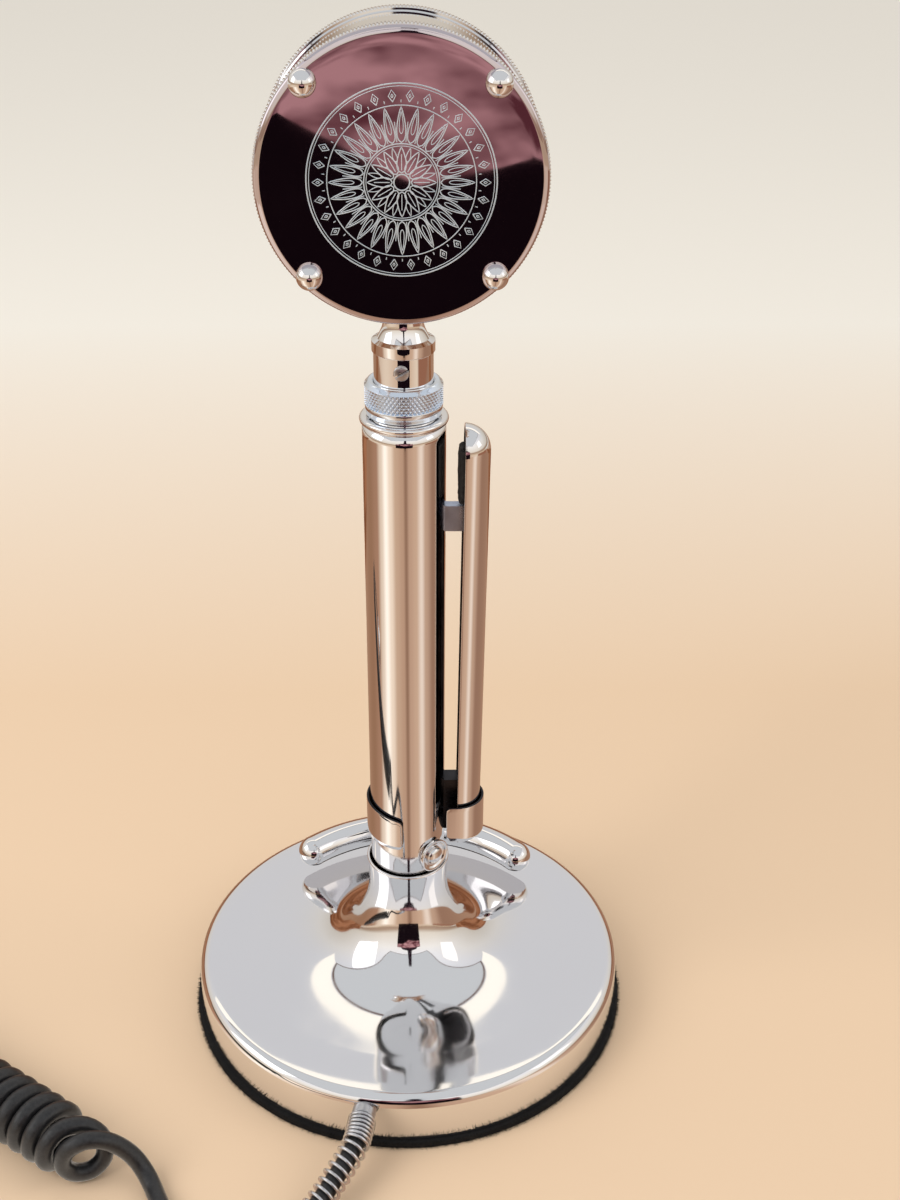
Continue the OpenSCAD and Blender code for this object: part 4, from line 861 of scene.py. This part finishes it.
# %% Rubber bumper
BUMPER_H, BUMPER_PROUD, BUMPER_HALF_W = 18, 1.8, 4.4
BUMPER_Z = GRIP_TOP_Z - 7 - BUMPER_H
bumper_points, bumper_faces = brick(
    (GRIP_EDGE_X - BUMPER_PROUD, -BUMPER_HALF_W, BUMPER_Z),
    (GRIP_EDGE_X + 4.6, BUMPER_HALF_W, BUMPER_Z + BUMPER_H),
)
bumper = mesh_piece("rubber_bumper", leaning(bumper_points), bumper_faces, bumper_rubber)
rounded_edges(bumper, 1.3, 4, 30)
bumper_grid = bumper.modifiers.new("grid", "SUBSURF")
bumper_grid.subdivision_type, bumper_grid.levels, bumper_grid.render_levels = "SIMPLE", 3, 3
lumps = bpy.data.textures.new("rubber_lumps", "CLOUDS")
lumps.noise_scale = 2.2 * MM
bumper_lumps = bumper.modifiers.new("lumps", "DISPLACE")
bumper_lumps.texture, bumper_lumps.strength, bumper_lumps.mid_level = lumps, 1.1 * MM, 0.55
fit(bumper, "grip", "rubber", "grip_bumper")

# %% [markdown]
# A sheet strap is wrapped round the column and round the foot of the grip. Seen from above its path is a
# long loop that is open at the back. The sheet is made as a grid along that path, with rounded corners at
# both ends and a top edge that falls towards the open end, and is then thickened.

# %% Strap path
STRAP_Z, STRAP_H, STRAP_T = 73, 14, 0.8
strap_rc, strap_rb = COLUMN_R + 0.5 + STRAP_T / 2, GRIP_R + 0.6 + STRAP_T / 2


def bend(x, radius, degrees):
    """Points of a level arc round (x, 0), at the given degrees."""
    return [(x + radius * math.cos(a), radius * math.sin(a)) for a in np.radians(degrees)]


behind = bend(0, strap_rc, [-266]) + [
    (GRIP_EDGE_X * 0.42, strap_rc - 0.8), (GRIP_EDGE_X * 0.75, strap_rb + 0.6), (GRIP_EDGE_X, strap_rb)
]
strap_path = bend(0, strap_rc, np.arange(-97, -263, -3)) + [tuple(p) for p in round_curve(behind, 8)]
strap_path += bend(GRIP_EDGE_X, strap_rb, np.arange(86, -91, -4))
strap_path += [(GRIP_EDGE_X - s, -strap_rb) for s in (0.8, 1.6, 2.4, 3.0, 3.45, 3.65)]
strap_walk = walked(strap_path)
print("strap is", round(float(strap_walk[-1]), 1), "mm long")

# %% [markdown]
# The sheet stands on that path, nine points high. The top edge falls where the strap starts at the back.

# %% Strap sheet
CORNER, STRAP_ROWS = 1.6, 9


def corner_cut(s):
    """How far the edge draws in near the two ends, for rounded corners."""
    left = min(s, strap_walk[-1] - s)
    return 0 if left > CORNER else CORNER - math.sqrt(max(0, CORNER ** 2 - (CORNER - left) ** 2))


strap_points = []
for (x, y), s in zip(strap_path, strap_walk):
    fall = math.tan(math.radians(11)) * (x + COLUMN_R + 2) if y < -3 and x < 6 and s < 30 else 0
    low, high = STRAP_Z + corner_cut(s), STRAP_Z + STRAP_H - fall - corner_cut(s)
    strap_points += [(x, y, z) for z in np.linspace(low, high, STRAP_ROWS)]
strap_faces = grid_faces(len(strap_path), STRAP_ROWS)
strap = mesh_piece("strap_sheet", strap_points, strap_faces, chrome, 50, sheet=True)
# The strap's inside and its rims get the near-black finish: painted shade for the dark gap between strap and
# column.
strap.data.materials.append(blackened_and_painted_shade)
thicken(strap, STRAP_T, 0, 1, 1)
rounded_edges(strap, 0.2)
fit(strap, "stand", "chrome", "grip_strap")

# %% [markdown]
# Near the column's foot a domed screw in a cup washer clamps the column to the post inside it. Both are
# turned pieces whose axis points out of the column, 42 degrees round from the back.

# %% Side screw and cup washer
SIDE_Z, SIDE_ANGLE, WASHER_R, WASHER_H = 67.9, math.radians(42), 6.0, 1.4
outwards = Matrix.Rotation(SIDE_ANGLE, 3, "Z") @ Matrix.Rotation(math.radians(90), 3, "X")
side_at = np.array(Matrix.Rotation(SIDE_ANGLE, 3, "Z") @ Vector((0, -COLUMN_R - 0.05, 0))) + (0, 0, SIDE_Z)
washer_line = rounded([
    (1.6, 0), (WASHER_R - 0.2, 0), (WASHER_R, WASHER_H), (WASHER_R - 0.9, WASHER_H - 0.1),
    (WASHER_R - 1.6, 0.6), (1.6, 0.5),
], 0.35)
washer = turned("cup_washer", washer_line, chrome_worn, turn=outwards, to=side_at, steps=96)
fit(washer, "stand", "chrome", "saddle_washer")

head_line = [(0, 0.4), (3.1, 0.4), (3.3, 0.7), (3.25, 1.0)]
head_line += arc(0, 1.0, 3.25, 0.1, math.pi / 2, 12, rise=1.75)
side_screw = turned("domed_screw", head_line, chrome_worn, turn=outwards, to=side_at, steps=72, closed=False)
fit(side_screw, "stand", "chrome", "side_screw")

# %% [markdown]
# # Cable
# The cable leaves the base through a small ferrule and a spring that keeps it from kinking: a few turns
# lie close together at the wall, and the rest are open, so the black cord shows between them. Then the
# cord runs down to the floor, out of view, and comes back as a curly cord that leaves the picture again.
# One curve serves for the whole cord, so nothing can part at a joint. Its points are those of the part's
# source.

# %% The cord's line
lead_route = [
    (-12.5, -62.8, 14), (-14.1, -70.6, 14), (-15.2, -76.4, 14), (-15.9, -80.6, 13.7), (-17, -85, 12.8),
    (-19.2, -89.6, 11.5), (-23.4, -96.1, 9.4), (-27.8, -102.8, 7.4), (-34.4, -111, 5.2), (-42.4, -118.6, 3.7),
    (-52, -123.8, 3), (-62, -124, 3), (-70, -118, 3), (-74, -108.6, 3), (-76.6, -103.2, 3), (-79.1, -98, 3),
]
curl_in_route = [
    (-81.6, -92.8, 3), (-84.4, -88.8, 5.2), (-87.8, -86.6, 9.4), (-92, -86.3, 14), (-96.6, -87.2, 17.8),
]
curl_out_route = [(-309.3, 51.2, 18.8), (-313.2, 45.6, 15.6), (-315.6, 39.8, 11.2)]
tail_route = [
    (-317.71, 34.7, 7.33), (-318.4, 28, 4.2), (-316.6, 21, 3), (-312, 14.4, 3), (-304, 8.4, 3.6),
    (-294.6, 2.2, 5.8), (-285.4, -3.9, 8.2), (-276.2, -9.9, 9.4), (-267, -15.9, 9.4),
]
CURL_FROM, CURL_DIR = np.array([-105, -85.1, 11.1]), np.array([-0.814, 0.581, 0])
CURL_SIDE, CURL_UP = np.array([0.581, 0.814, 0]), np.array([0, 0, 1])
CORD_D, CURL_OD, CURL_PITCH, CURL_COUNT = 5.8, 22, 6.4, 38
CURL_R, CURL_FIRST, CURL_FAN = (CURL_OD - CORD_D) / 2, math.radians(100), math.radians(40)


def curl_point(turns_done):
    """A point of the curls. The first one fans open towards the camera."""
    if turns_done < 0.45:
        share = 1
    elif turns_done > 1.35:
        share = 0
    else:
        share = 0.5 + 0.5 * math.cos(math.pi * (turns_done - 0.45) / 0.9)
    fan = CURL_FAN * share
    side = CURL_SIDE * math.cos(fan) - CURL_DIR * math.sin(fan)
    a = CURL_FIRST + 2 * math.pi * turns_done
    return (CURL_FROM + CURL_DIR * (CURL_PITCH * turns_done - CURL_R * math.sin(fan))
            + CURL_R * (side * math.cos(a) + CURL_UP * math.sin(a)))


curls = [curl_point(k / 8) for k in range(CURL_COUNT * 8 + 1)]
cord_knots = lead_route + curl_in_route + curls + curl_out_route + tail_route
cord_line = round_curve(cord_knots, 4)
lead_line = round_curve(lead_route, 40)

# %% [markdown]
# Cord and spring are curve objects: a poly line with a round bevel.

# %% A wire along a line
def wire(name, line, thick, finish, sides=6):
    """A round wire as a curve object."""
    data = bpy.data.curves.new(name, "CURVE")
    data.dimensions = "3D"
    data.bevel_depth = thick / 2 * MM
    data.bevel_resolution = sides
    data.use_fill_caps = True
    spline = data.splines.new("POLY")
    spline.points.add(len(line) - 1)
    spline.points.foreach_set("co", np.column_stack([np.array(line) * MM, np.ones(len(line))]).ravel())
    spline.use_smooth = True
    data.materials.append(finish)
    return shown(name, data)


cord = wire("curly_cord", cord_line, CORD_D, cord_rubber, 4)
fit(cord, "stand", "cord", "cord_lead", "cord_curls", "cord_tail")

# %% [markdown]
# The spring is wound round the cord's own line. At each step along it, the line's direction gives two
# sideways directions, and the wire goes round in their plane.

# %% Strain-relief spring
WIRE_D, SPRING_OD, TURN_STEPS = 1.15, 9.3, 24
CLOSE_TURNS, CLOSE_PITCH, OPEN_PITCH, SPRING_LENGTH = 6.5, 1.25, 2.85, 57.6
EXIT_ANGLE, EXIT_R, EXIT_Z, FERRULE_OUT = math.radians(11.3), BASE_R - BASE_DRAFT / 2, 14, 2.6
exit_way = np.array([-math.sin(EXIT_ANGLE), -math.cos(EXIT_ANGLE), 0])
lead_walk = walked(lead_line)
spring_start = float(np.interp(EXIT_R + FERRULE_OUT + WIRE_D / 2, lead_line @ exit_way, lead_walk))
open_turns = (SPRING_LENGTH - CLOSE_TURNS * CLOSE_PITCH) / OPEN_PITCH
spring_mid = (SPRING_OD - WIRE_D) / 2


def lead_at(s):
    """A point of the cord's line, by its length from the clamp."""
    return np.array([np.interp(s, lead_walk, lead_line[:, k]) for k in range(3)])


spring_line = []
for k in range(int((CLOSE_TURNS + open_turns) * TURN_STEPS) + 1):
    t = k / TURN_STEPS
    close = min(t, CLOSE_TURNS)
    s = spring_start + close * CLOSE_PITCH + (t - close) * OPEN_PITCH
    way = lead_at(s + 1.5) - lead_at(s - 1.5)
    way /= np.linalg.norm(way)
    across = np.cross(way, [0, 0, 1])
    across /= np.linalg.norm(across)
    spring_line.append(lead_at(s) + spring_mid * (
        across * math.cos(2 * math.pi * t) + np.cross(across, way) * math.sin(2 * math.pi * t)))
spring = wire("relief_spring", spring_line, WIRE_D, spring_steel, 3)
fit(spring, "stand", "steel", "strain_spring")

# %% [markdown]
# The ferrule is a short sleeve in the base's wall. Its axis is the way on which the cord leaves.

# %% Ferrule at the base's wall
ferrule_line = rounded([
    (CORD_D / 2 + 0.2, -6), (3.9, -6), (3.9, FERRULE_OUT), (CORD_D / 2 + 0.2, FERRULE_OUT)
], [0, 0, 0.6, 0.3])
ferrule_turn = Matrix((np.cross([0, 0, 1], exit_way), (0, 0, 1), exit_way)).transposed()
ferrule_at = exit_way * EXIT_R + np.array([0, 0, EXIT_Z])
ferrule = turned("ferrule", ferrule_line, steel, turn=ferrule_turn, to=ferrule_at, steps=72)
fit(ferrule, "stand", "steel", "cable_ferrule")

# %% [markdown]
# The cord ends out of view in a round screw-on plug: a cord clamp, a shell that narrows towards the cord,
# a coupling ring, and an insulating insert with its pins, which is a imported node.

# %% Plug
PLUG_AT, PLUG_TURN = (-267, -15.9, 9.4), math.radians(-33.3)
plug_turn = Matrix.Rotation(PLUG_TURN, 3, "Z") @ Matrix.Rotation(math.radians(90), 3, "Y")
CLAMP_L, SHELL_L, PLUG_R, PLUG_RING_L = 12, 22, 9.2, 13
shell_line = rounded([
    (CORD_D / 2, CLAMP_L), (CORD_D / 2 + 2.6, CLAMP_L), (CORD_D / 2 + 3.2, CLAMP_L + 1), (6.1, CLAMP_L + 3.4),
    (PLUG_R - 1.5, CLAMP_L + 5.2), (PLUG_R - 1.5, CLAMP_L + SHELL_L), (PLUG_R - 2.6, CLAMP_L + SHELL_L),
    (PLUG_R - 2.6, CLAMP_L + 6), (CORD_D / 2, CLAMP_L + 6),
], 0.5)
plug_shell = turned("plug_body", shell_line, chrome, turn=plug_turn, to=PLUG_AT, steps=96)
fit(plug_shell, "stand", "chrome", "plug_shell")

# %% [markdown]
# The coupling ring is a body of its own, since it turns on the shell. Straight teeth give it its grip.

# %% Plug's coupling ring
RING_FROM, PLUG_TEETH = CLAMP_L + SHELL_L - PLUG_RING_L + 5, 60
RING_TO = RING_FROM + PLUG_RING_L


def plug_knurl(angle, r, z):
    """Straight teeth on the middle of the coupling ring."""
    if r < PLUG_R - 0.01 or not RING_FROM + 2 < z < RING_TO - 2:
        return np.full(len(angle), r)
    return r - 0.15 * (1 - np.cos(PLUG_TEETH * angle))


coupling_line = [(PLUG_R - 1.4, RING_FROM), (PLUG_R - 0.4, RING_FROM), (PLUG_R, RING_FROM + 0.4)]
coupling_line += [(PLUG_R, z) for z in np.linspace(RING_FROM + 1.99, RING_TO - 1.99, 6)]
coupling_line += [(PLUG_R, RING_TO - 0.4), (PLUG_R - 0.4, RING_TO), (PLUG_R - 1.4, RING_TO)]
coupling = turned("plug_coupling", coupling_line, chrome, turn=plug_turn, to=PLUG_AT,
                  steps=PLUG_TEETH * 8, wave=plug_knurl)
fit(coupling, "plug_nut", "chrome", "plug_ring")

# %% [markdown]
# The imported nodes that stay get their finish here. Those are flat or simple pieces whose shape is right as
# it is: the press bar and its arm, the tab, the lug, the grille, and everything inside.

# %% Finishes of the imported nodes
node_finishes = {
    chrome: ["front_grille", "press_bar"],
    tab_steel: ["grip_tab"],
    steel: ["stem_post", "rod_guide", "switch_rod", "rod_spring", "grip_pin", "base_bridge", "bridge_screws",
            "bottom_plate", "bottom_screws", "press_arm", "arm_pin", "arm_bracket", "press_spring",
            "cable_clamp", "plug_clamp"],
    aluminium: ["cartridge_can", "cartridge_diaphragm"],
    brass: ["switch_tags", "leaf_upper", "leaf_middle", "leaf_lower"],
    bumper_rubber: ["cartridge_gasket"],
    cord_rubber: ["head_leads", "column_cable"],
    phenolic: ["neck_insert", "socket_insert", "switch_block", "terminal_strip", "plug_insert"],
    grille_weave: ["grille_cloth"],
    iron: ["base_weight"],
    blackened_and_painted_shade: ["grip_lug"],
    crystal: ["crystal_element"],
}
for finish, names in node_finishes.items():
    for name in names:
        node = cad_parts[name]
        node.data.materials.clear()
        node.data.materials.append(finish)
print("packed nodes with a finish:", sum(len(v) for v in node_finishes.values()))

# %% [markdown]
# # Cord facts
# Its lay is coiled, since nearly all of it lies in the curls, and the picture's edge crops them.

# %% [markdown]
# # Studio
# The floor is plain and pale, warm near the microphone and cream further off.

# %% Floor
def parts_of(tree, vector):
    """The X, Y and Z of a vector."""
    return node_of(tree, "SeparateXYZ", Vector=vector).outputs


def flat(name, corners, finish, mirrors_only=False):
    """One face between corners in millimetres, as a piece of the stage."""
    mesh = bpy.data.meshes.new(name)
    mesh.from_pydata([tuple(np.array(c) * MM) for c in corners], [], [tuple(range(len(corners)))])
    mesh.materials.append(finish)
    panel = shown(name, mesh)
    if mirrors_only:
        for seen_by in ("camera", "diffuse", "transmission", "volume_scatter", "shadow"):
            setattr(panel, "visible_" + seen_by, False)
    panel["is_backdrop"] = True


SIDE = 6000
NEAR_TONE, FAR_TONE = (0.76, 0.57, 0.40), (0.88, 0.84, 0.77)
floor_finish, tree, shader = new_finish("floor", (0.76, 0.62, 0.47), 0.0, 0.6)
far = spread(tree, parts_of(tree, own_space(tree))["Y"], 0, 1, 0.20, 0.75)
feed(shader, Base_Color=two_tone(tree, far, NEAR_TONE, FAR_TONE, 0.0, 1.0), Specular_IOR_Level=0.0)
flat("floor", [(-SIDE, -SIDE, 0), (SIDE, -SIDE, 0), (SIDE, SIDE, 0), (-SIDE, SIDE, 0)], floor_finish)
print("floor is", 2 * SIDE * MM, "m wide")

# %% [markdown]
# Chrome mirrors whatever stands round it. So the sky that mirrors see is bright above and darker near the
# horizon. The sky that lights the scene is plain and even, and a third one is what the camera sees.

# %% Sky
def mix_of(tree, share, first, second):
    """Mixes two shaders."""
    node = node_of(tree, "MixShader")
    for socket, value in enumerate((share, first.outputs[0], second.outputs[0])):
        tree.links.new(value, node.inputs[socket])
    return node


world = bpy.data.worlds.new("studio")
bpy.context.scene.world = world
world.use_nodes = True
tree = world.node_tree
tree.nodes.clear()
direction = parts_of(tree, node_of(tree, "TexCoord").outputs["Generated"])
SKY_STOPS = [
    (0.0, (0.30, 0.20, 0.14)), (0.04, (0.34, 0.24, 0.17)), (0.10, (0.60, 0.54, 0.46)),
    (0.42, (0.70, 0.67, 0.63)), (0.65, (0.66, 0.66, 0.68)), (1.0, (0.60, 0.62, 0.66)),
]
plain_sky = node_of(tree, "Background", Color=(1.0, 0.985, 0.96, 1), Strength=0.82)
mirror_sky = node_of(tree, "Background", Color=ramp_of(tree, direction["Z"], SKY_STOPS),
                     Strength=spread(tree, direction["Y"], 1.5, 1.05, -0.6, 0.7))
camera_sky = node_of(tree, "Background", Color=(0.92, 0.89, 0.84, 1))
rays = node_of(tree, "LightPath").outputs
for_mirrors = mix_of(tree, rays["Is Glossy Ray"], plain_sky, mirror_sky)
for_camera = mix_of(tree, rays["Is Camera Ray"], for_mirrors, camera_sky)
node_of(tree, "OutputWorld", Surface=for_camera.outputs["Shader"])
print("sky stops:", len(SKY_STOPS))

# %% [markdown]
# Glowing cards stand round the microphone that only mirrors can see, as in a light tent. A card has one
# colour, or two that are mixed by a noise, or colours that go round the microphone with the angle.

# %% Cards that only mirrors see
def card(name, corners, low, high=None, scale=0.0, stretch=(1, 1, 1), stops=None):
    """A glowing card for reflections. Camera, light and shadow pass through it."""
    finish = bpy.data.materials.new(name)
    finish.use_nodes = True
    tree = finish.node_tree
    tree.nodes.clear()
    glow = node_of(tree, "Emission", Color=(*low, 1))
    if high is not None:
        feed(glow, Color=two_tone(tree, noise_of(tree, scale, 3, 0.5, stretch), low, high, 0.40, 0.62))
    if stops is not None:
        feed(glow, Color=round_tones(tree, stops))
    node_of(tree, "OutputMaterial", Surface=glow.outputs["Emission"])
    flat(name, corners, finish, mirrors_only=True)


def math_of(tree, operation, *values):
    """The result of a math operation on sockets or plain numbers."""
    node = node_of(tree, "Math")
    node.operation = operation
    for socket, value in zip(node.inputs, values):
        if isinstance(value, bpy.types.NodeSocket):
            tree.links.new(value, socket)
        else:
            socket.default_value = value
    return node.outputs["Value"]


def round_tones(tree, stops):
    """Colours by the angle round the microphone: (degrees from the cable side, towards the grip; colour)."""
    place = parts_of(tree, own_space(tree))
    angle = math_of(tree, "ARCTAN2", place["X"], math_of(tree, "MULTIPLY", place["Y"], -1))
    share = spread(tree, angle, 0, 1, -math.pi, math.pi)
    return ramp_of(tree, share, [((degrees + 180) / 360, colour) for degrees, colour in stops], "EASE")


# %% [markdown]
# The ground as mirrors see it is two rings whose colour goes round the microphone with the angle. The
# column, which is upright, mirrors only the inner ring. The bell mirrors the outer one, as a narrow band.

# %% Ground rings
def ground_ring(name, r_inner, r_outer, stops):
    """A flat ring whose colours go round."""
    ring_angles = np.linspace(0, 2 * math.pi, 73)
    corners = [(r_inner * math.sin(a), r_inner * math.cos(a), 0.6) for a in ring_angles]
    corners += [(r_outer * math.sin(a), r_outer * math.cos(a), 0.6) for a in ring_angles[::-1]]
    card(name, corners, stops[0][1], stops=stops)
    print(f"{name}: {len(stops)} stops")


ground_ring("card_ground", 95, 860, [
    (-180, (0.46, 0.27, 0.17)), (-112, (0.36, 0.19, 0.11)), (-84, (0.44, 0.24, 0.15)),
    (-68, (0.90, 0.72, 0.56)), (-54, (1.30, 1.16, 1.00)), (-40, (1.02, 0.82, 0.64)),
    (-24, (0.66, 0.44, 0.30)), (-6, (0.58, 0.36, 0.24)), (3, (0.34, 0.19, 0.12)),
    (13, (0.60, 0.38, 0.26)), (30, (0.68, 0.45, 0.31)), (46, (0.96, 0.78, 0.64)),
    (60, (0.60, 0.39, 0.27)), (84, (0.36, 0.20, 0.13)), (180, (0.46, 0.27, 0.17)),
])
ground_ring("card_ground_outer", 860, 1900, [
    (-180, (0.46, 0.27, 0.17)), (-150, (0.40, 0.22, 0.14)), (-120, (0.66, 0.47, 0.34)),
    (-70, (0.86, 0.69, 0.53)), (-14, (0.72, 0.50, 0.35)), (-7, (0.30, 0.12, 0.10)),
    (8, (0.30, 0.12, 0.10)), (15, (0.72, 0.50, 0.35)), (52, (0.86, 0.69, 0.53)),
    (60, (0.34, 0.15, 0.09)), (100, (0.34, 0.15, 0.09)), (112, (0.62, 0.44, 0.32)),
    (150, (0.40, 0.22, 0.14)), (180, (0.46, 0.27, 0.17)),
])

# %% [markdown]
# Behind the camera stands a dark card with a wavy upper edge, and a maroon one behind it. They are what
# makes the back plate a dark mirror. The others make the bright and dark stretches of column, head and base.

# %% Cards behind the camera, above and at the sides
SCREEN_Y = -560
FOLD = [
    (-230, 240), (-96, 222), (-70, 207), (-40, 192), (-10, 175), (10, 167), (30, 172), (60, 178), (88, 186),
    (230, 192),
]
STREAK = [(-150, 298), (170, 298), (150, 335), (60, 358), (52, 640), (2, 640), (-20, 358), (-120, 335)]


def rectangle(x, y, z):
    """Corners of a flat card: two of the three are ranges (low, high), the third is one number."""
    x, y, z = [v if isinstance(v, tuple) else (v, v) for v in (x, y, z)]
    steps = ((0, 0), (1, 0), (1, 1), (0, 1))
    level = z[0] == z[1]
    return [(x[i], y[j if level else i], z[j]) for i, j in steps]


card("card_dark", [(-230, SCREEN_Y, 2), (230, SCREEN_Y, 2)] + [(x, SCREEN_Y, z) for x, z in FOLD[::-1]],
     (0.007, 0.003, 0.005))
card("card_maroon", rectangle((-230, 230), SCREEN_Y - 2, (90, 300)),
     (0.13, 0.035, 0.045), (0.62, 0.32, 0.33), 15, (1, 1, 2.2))
card("card_streak", [(x, SCREEN_Y - 4, z) for x, z in STREAK], (0.02, 0.010, 0.016))
card("card_dark_ground", [(2, -520, 0.9), (40, -520, 0.9), (62, -640, 0.9), (-10, -640, 0.9)],
     (0.03, 0.018, 0.015))
card("card_above_edge", rectangle((-1760, 1760), (-2460, 1080), 1910), (0.16, 0.10, 0.08))
card("card_above", rectangle((-1700, 1700), (-2400, 1010), 1900), (0.66, 0.68, 0.70))
card("card_high_cream", rectangle((-1700, 1700), 1100, (1330, 1895)), (1.25, 1.18, 1.06))
card("card_low_brown", rectangle((-900, 900), 293, (1, 91)),
     (0.20, 0.07, 0.03), (0.42, 0.18, 0.09), 12, (1, 1, 6))
card("card_bright_left", rectangle(-1300, (-700, 150), (500, 1350)), (1.8, 1.8, 1.8))
card("card_bright_right", rectangle(1400, (-700, -100), (600, 1200)), (1.35, 1.3, 1.25))

# %% [markdown]
# One large soft lamp stands on the left, above the camera, and a weaker one on the right opens the shadows.
# Both are large, so the shadow on the floor stays soft. Mirrors don't see the lamps: the two bright cards
# stand for them there, at a brightness that keeps its shape.

# %% Lamps
def soft_lamp(name, place, target, width, height, power, colour):
    """An area lamp that looks at a point."""
    data = bpy.data.lights.new(name, "AREA")
    data.shape, data.size, data.size_y = "RECTANGLE", width, height
    data.energy, data.color = power, colour
    lamp = shown(name, data)
    lamp.location = place
    lamp.rotation_mode = "QUATERNION"
    lamp.rotation_quaternion = (Vector(target) - Vector(place)).to_track_quat("-Z", "Y")
    lamp.visible_glossy = False


soft_lamp("lamp_left", (-1.1, -0.55, 1.15), (0, 0, 0.1), 0.9, 1.1, 12, (1.0, 0.97, 0.93))
soft_lamp("lamp_right", (1.2, -0.1, 1.0), (0, 0, 0.12), 0.6, 0.9, 3, (1.0, 0.96, 0.92))

# %% [markdown]
# Last, the box of what shows is printed.

# %% The box of what shows
low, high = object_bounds()
print("visual box", [round(v, 4) for v in (*low, *high)])
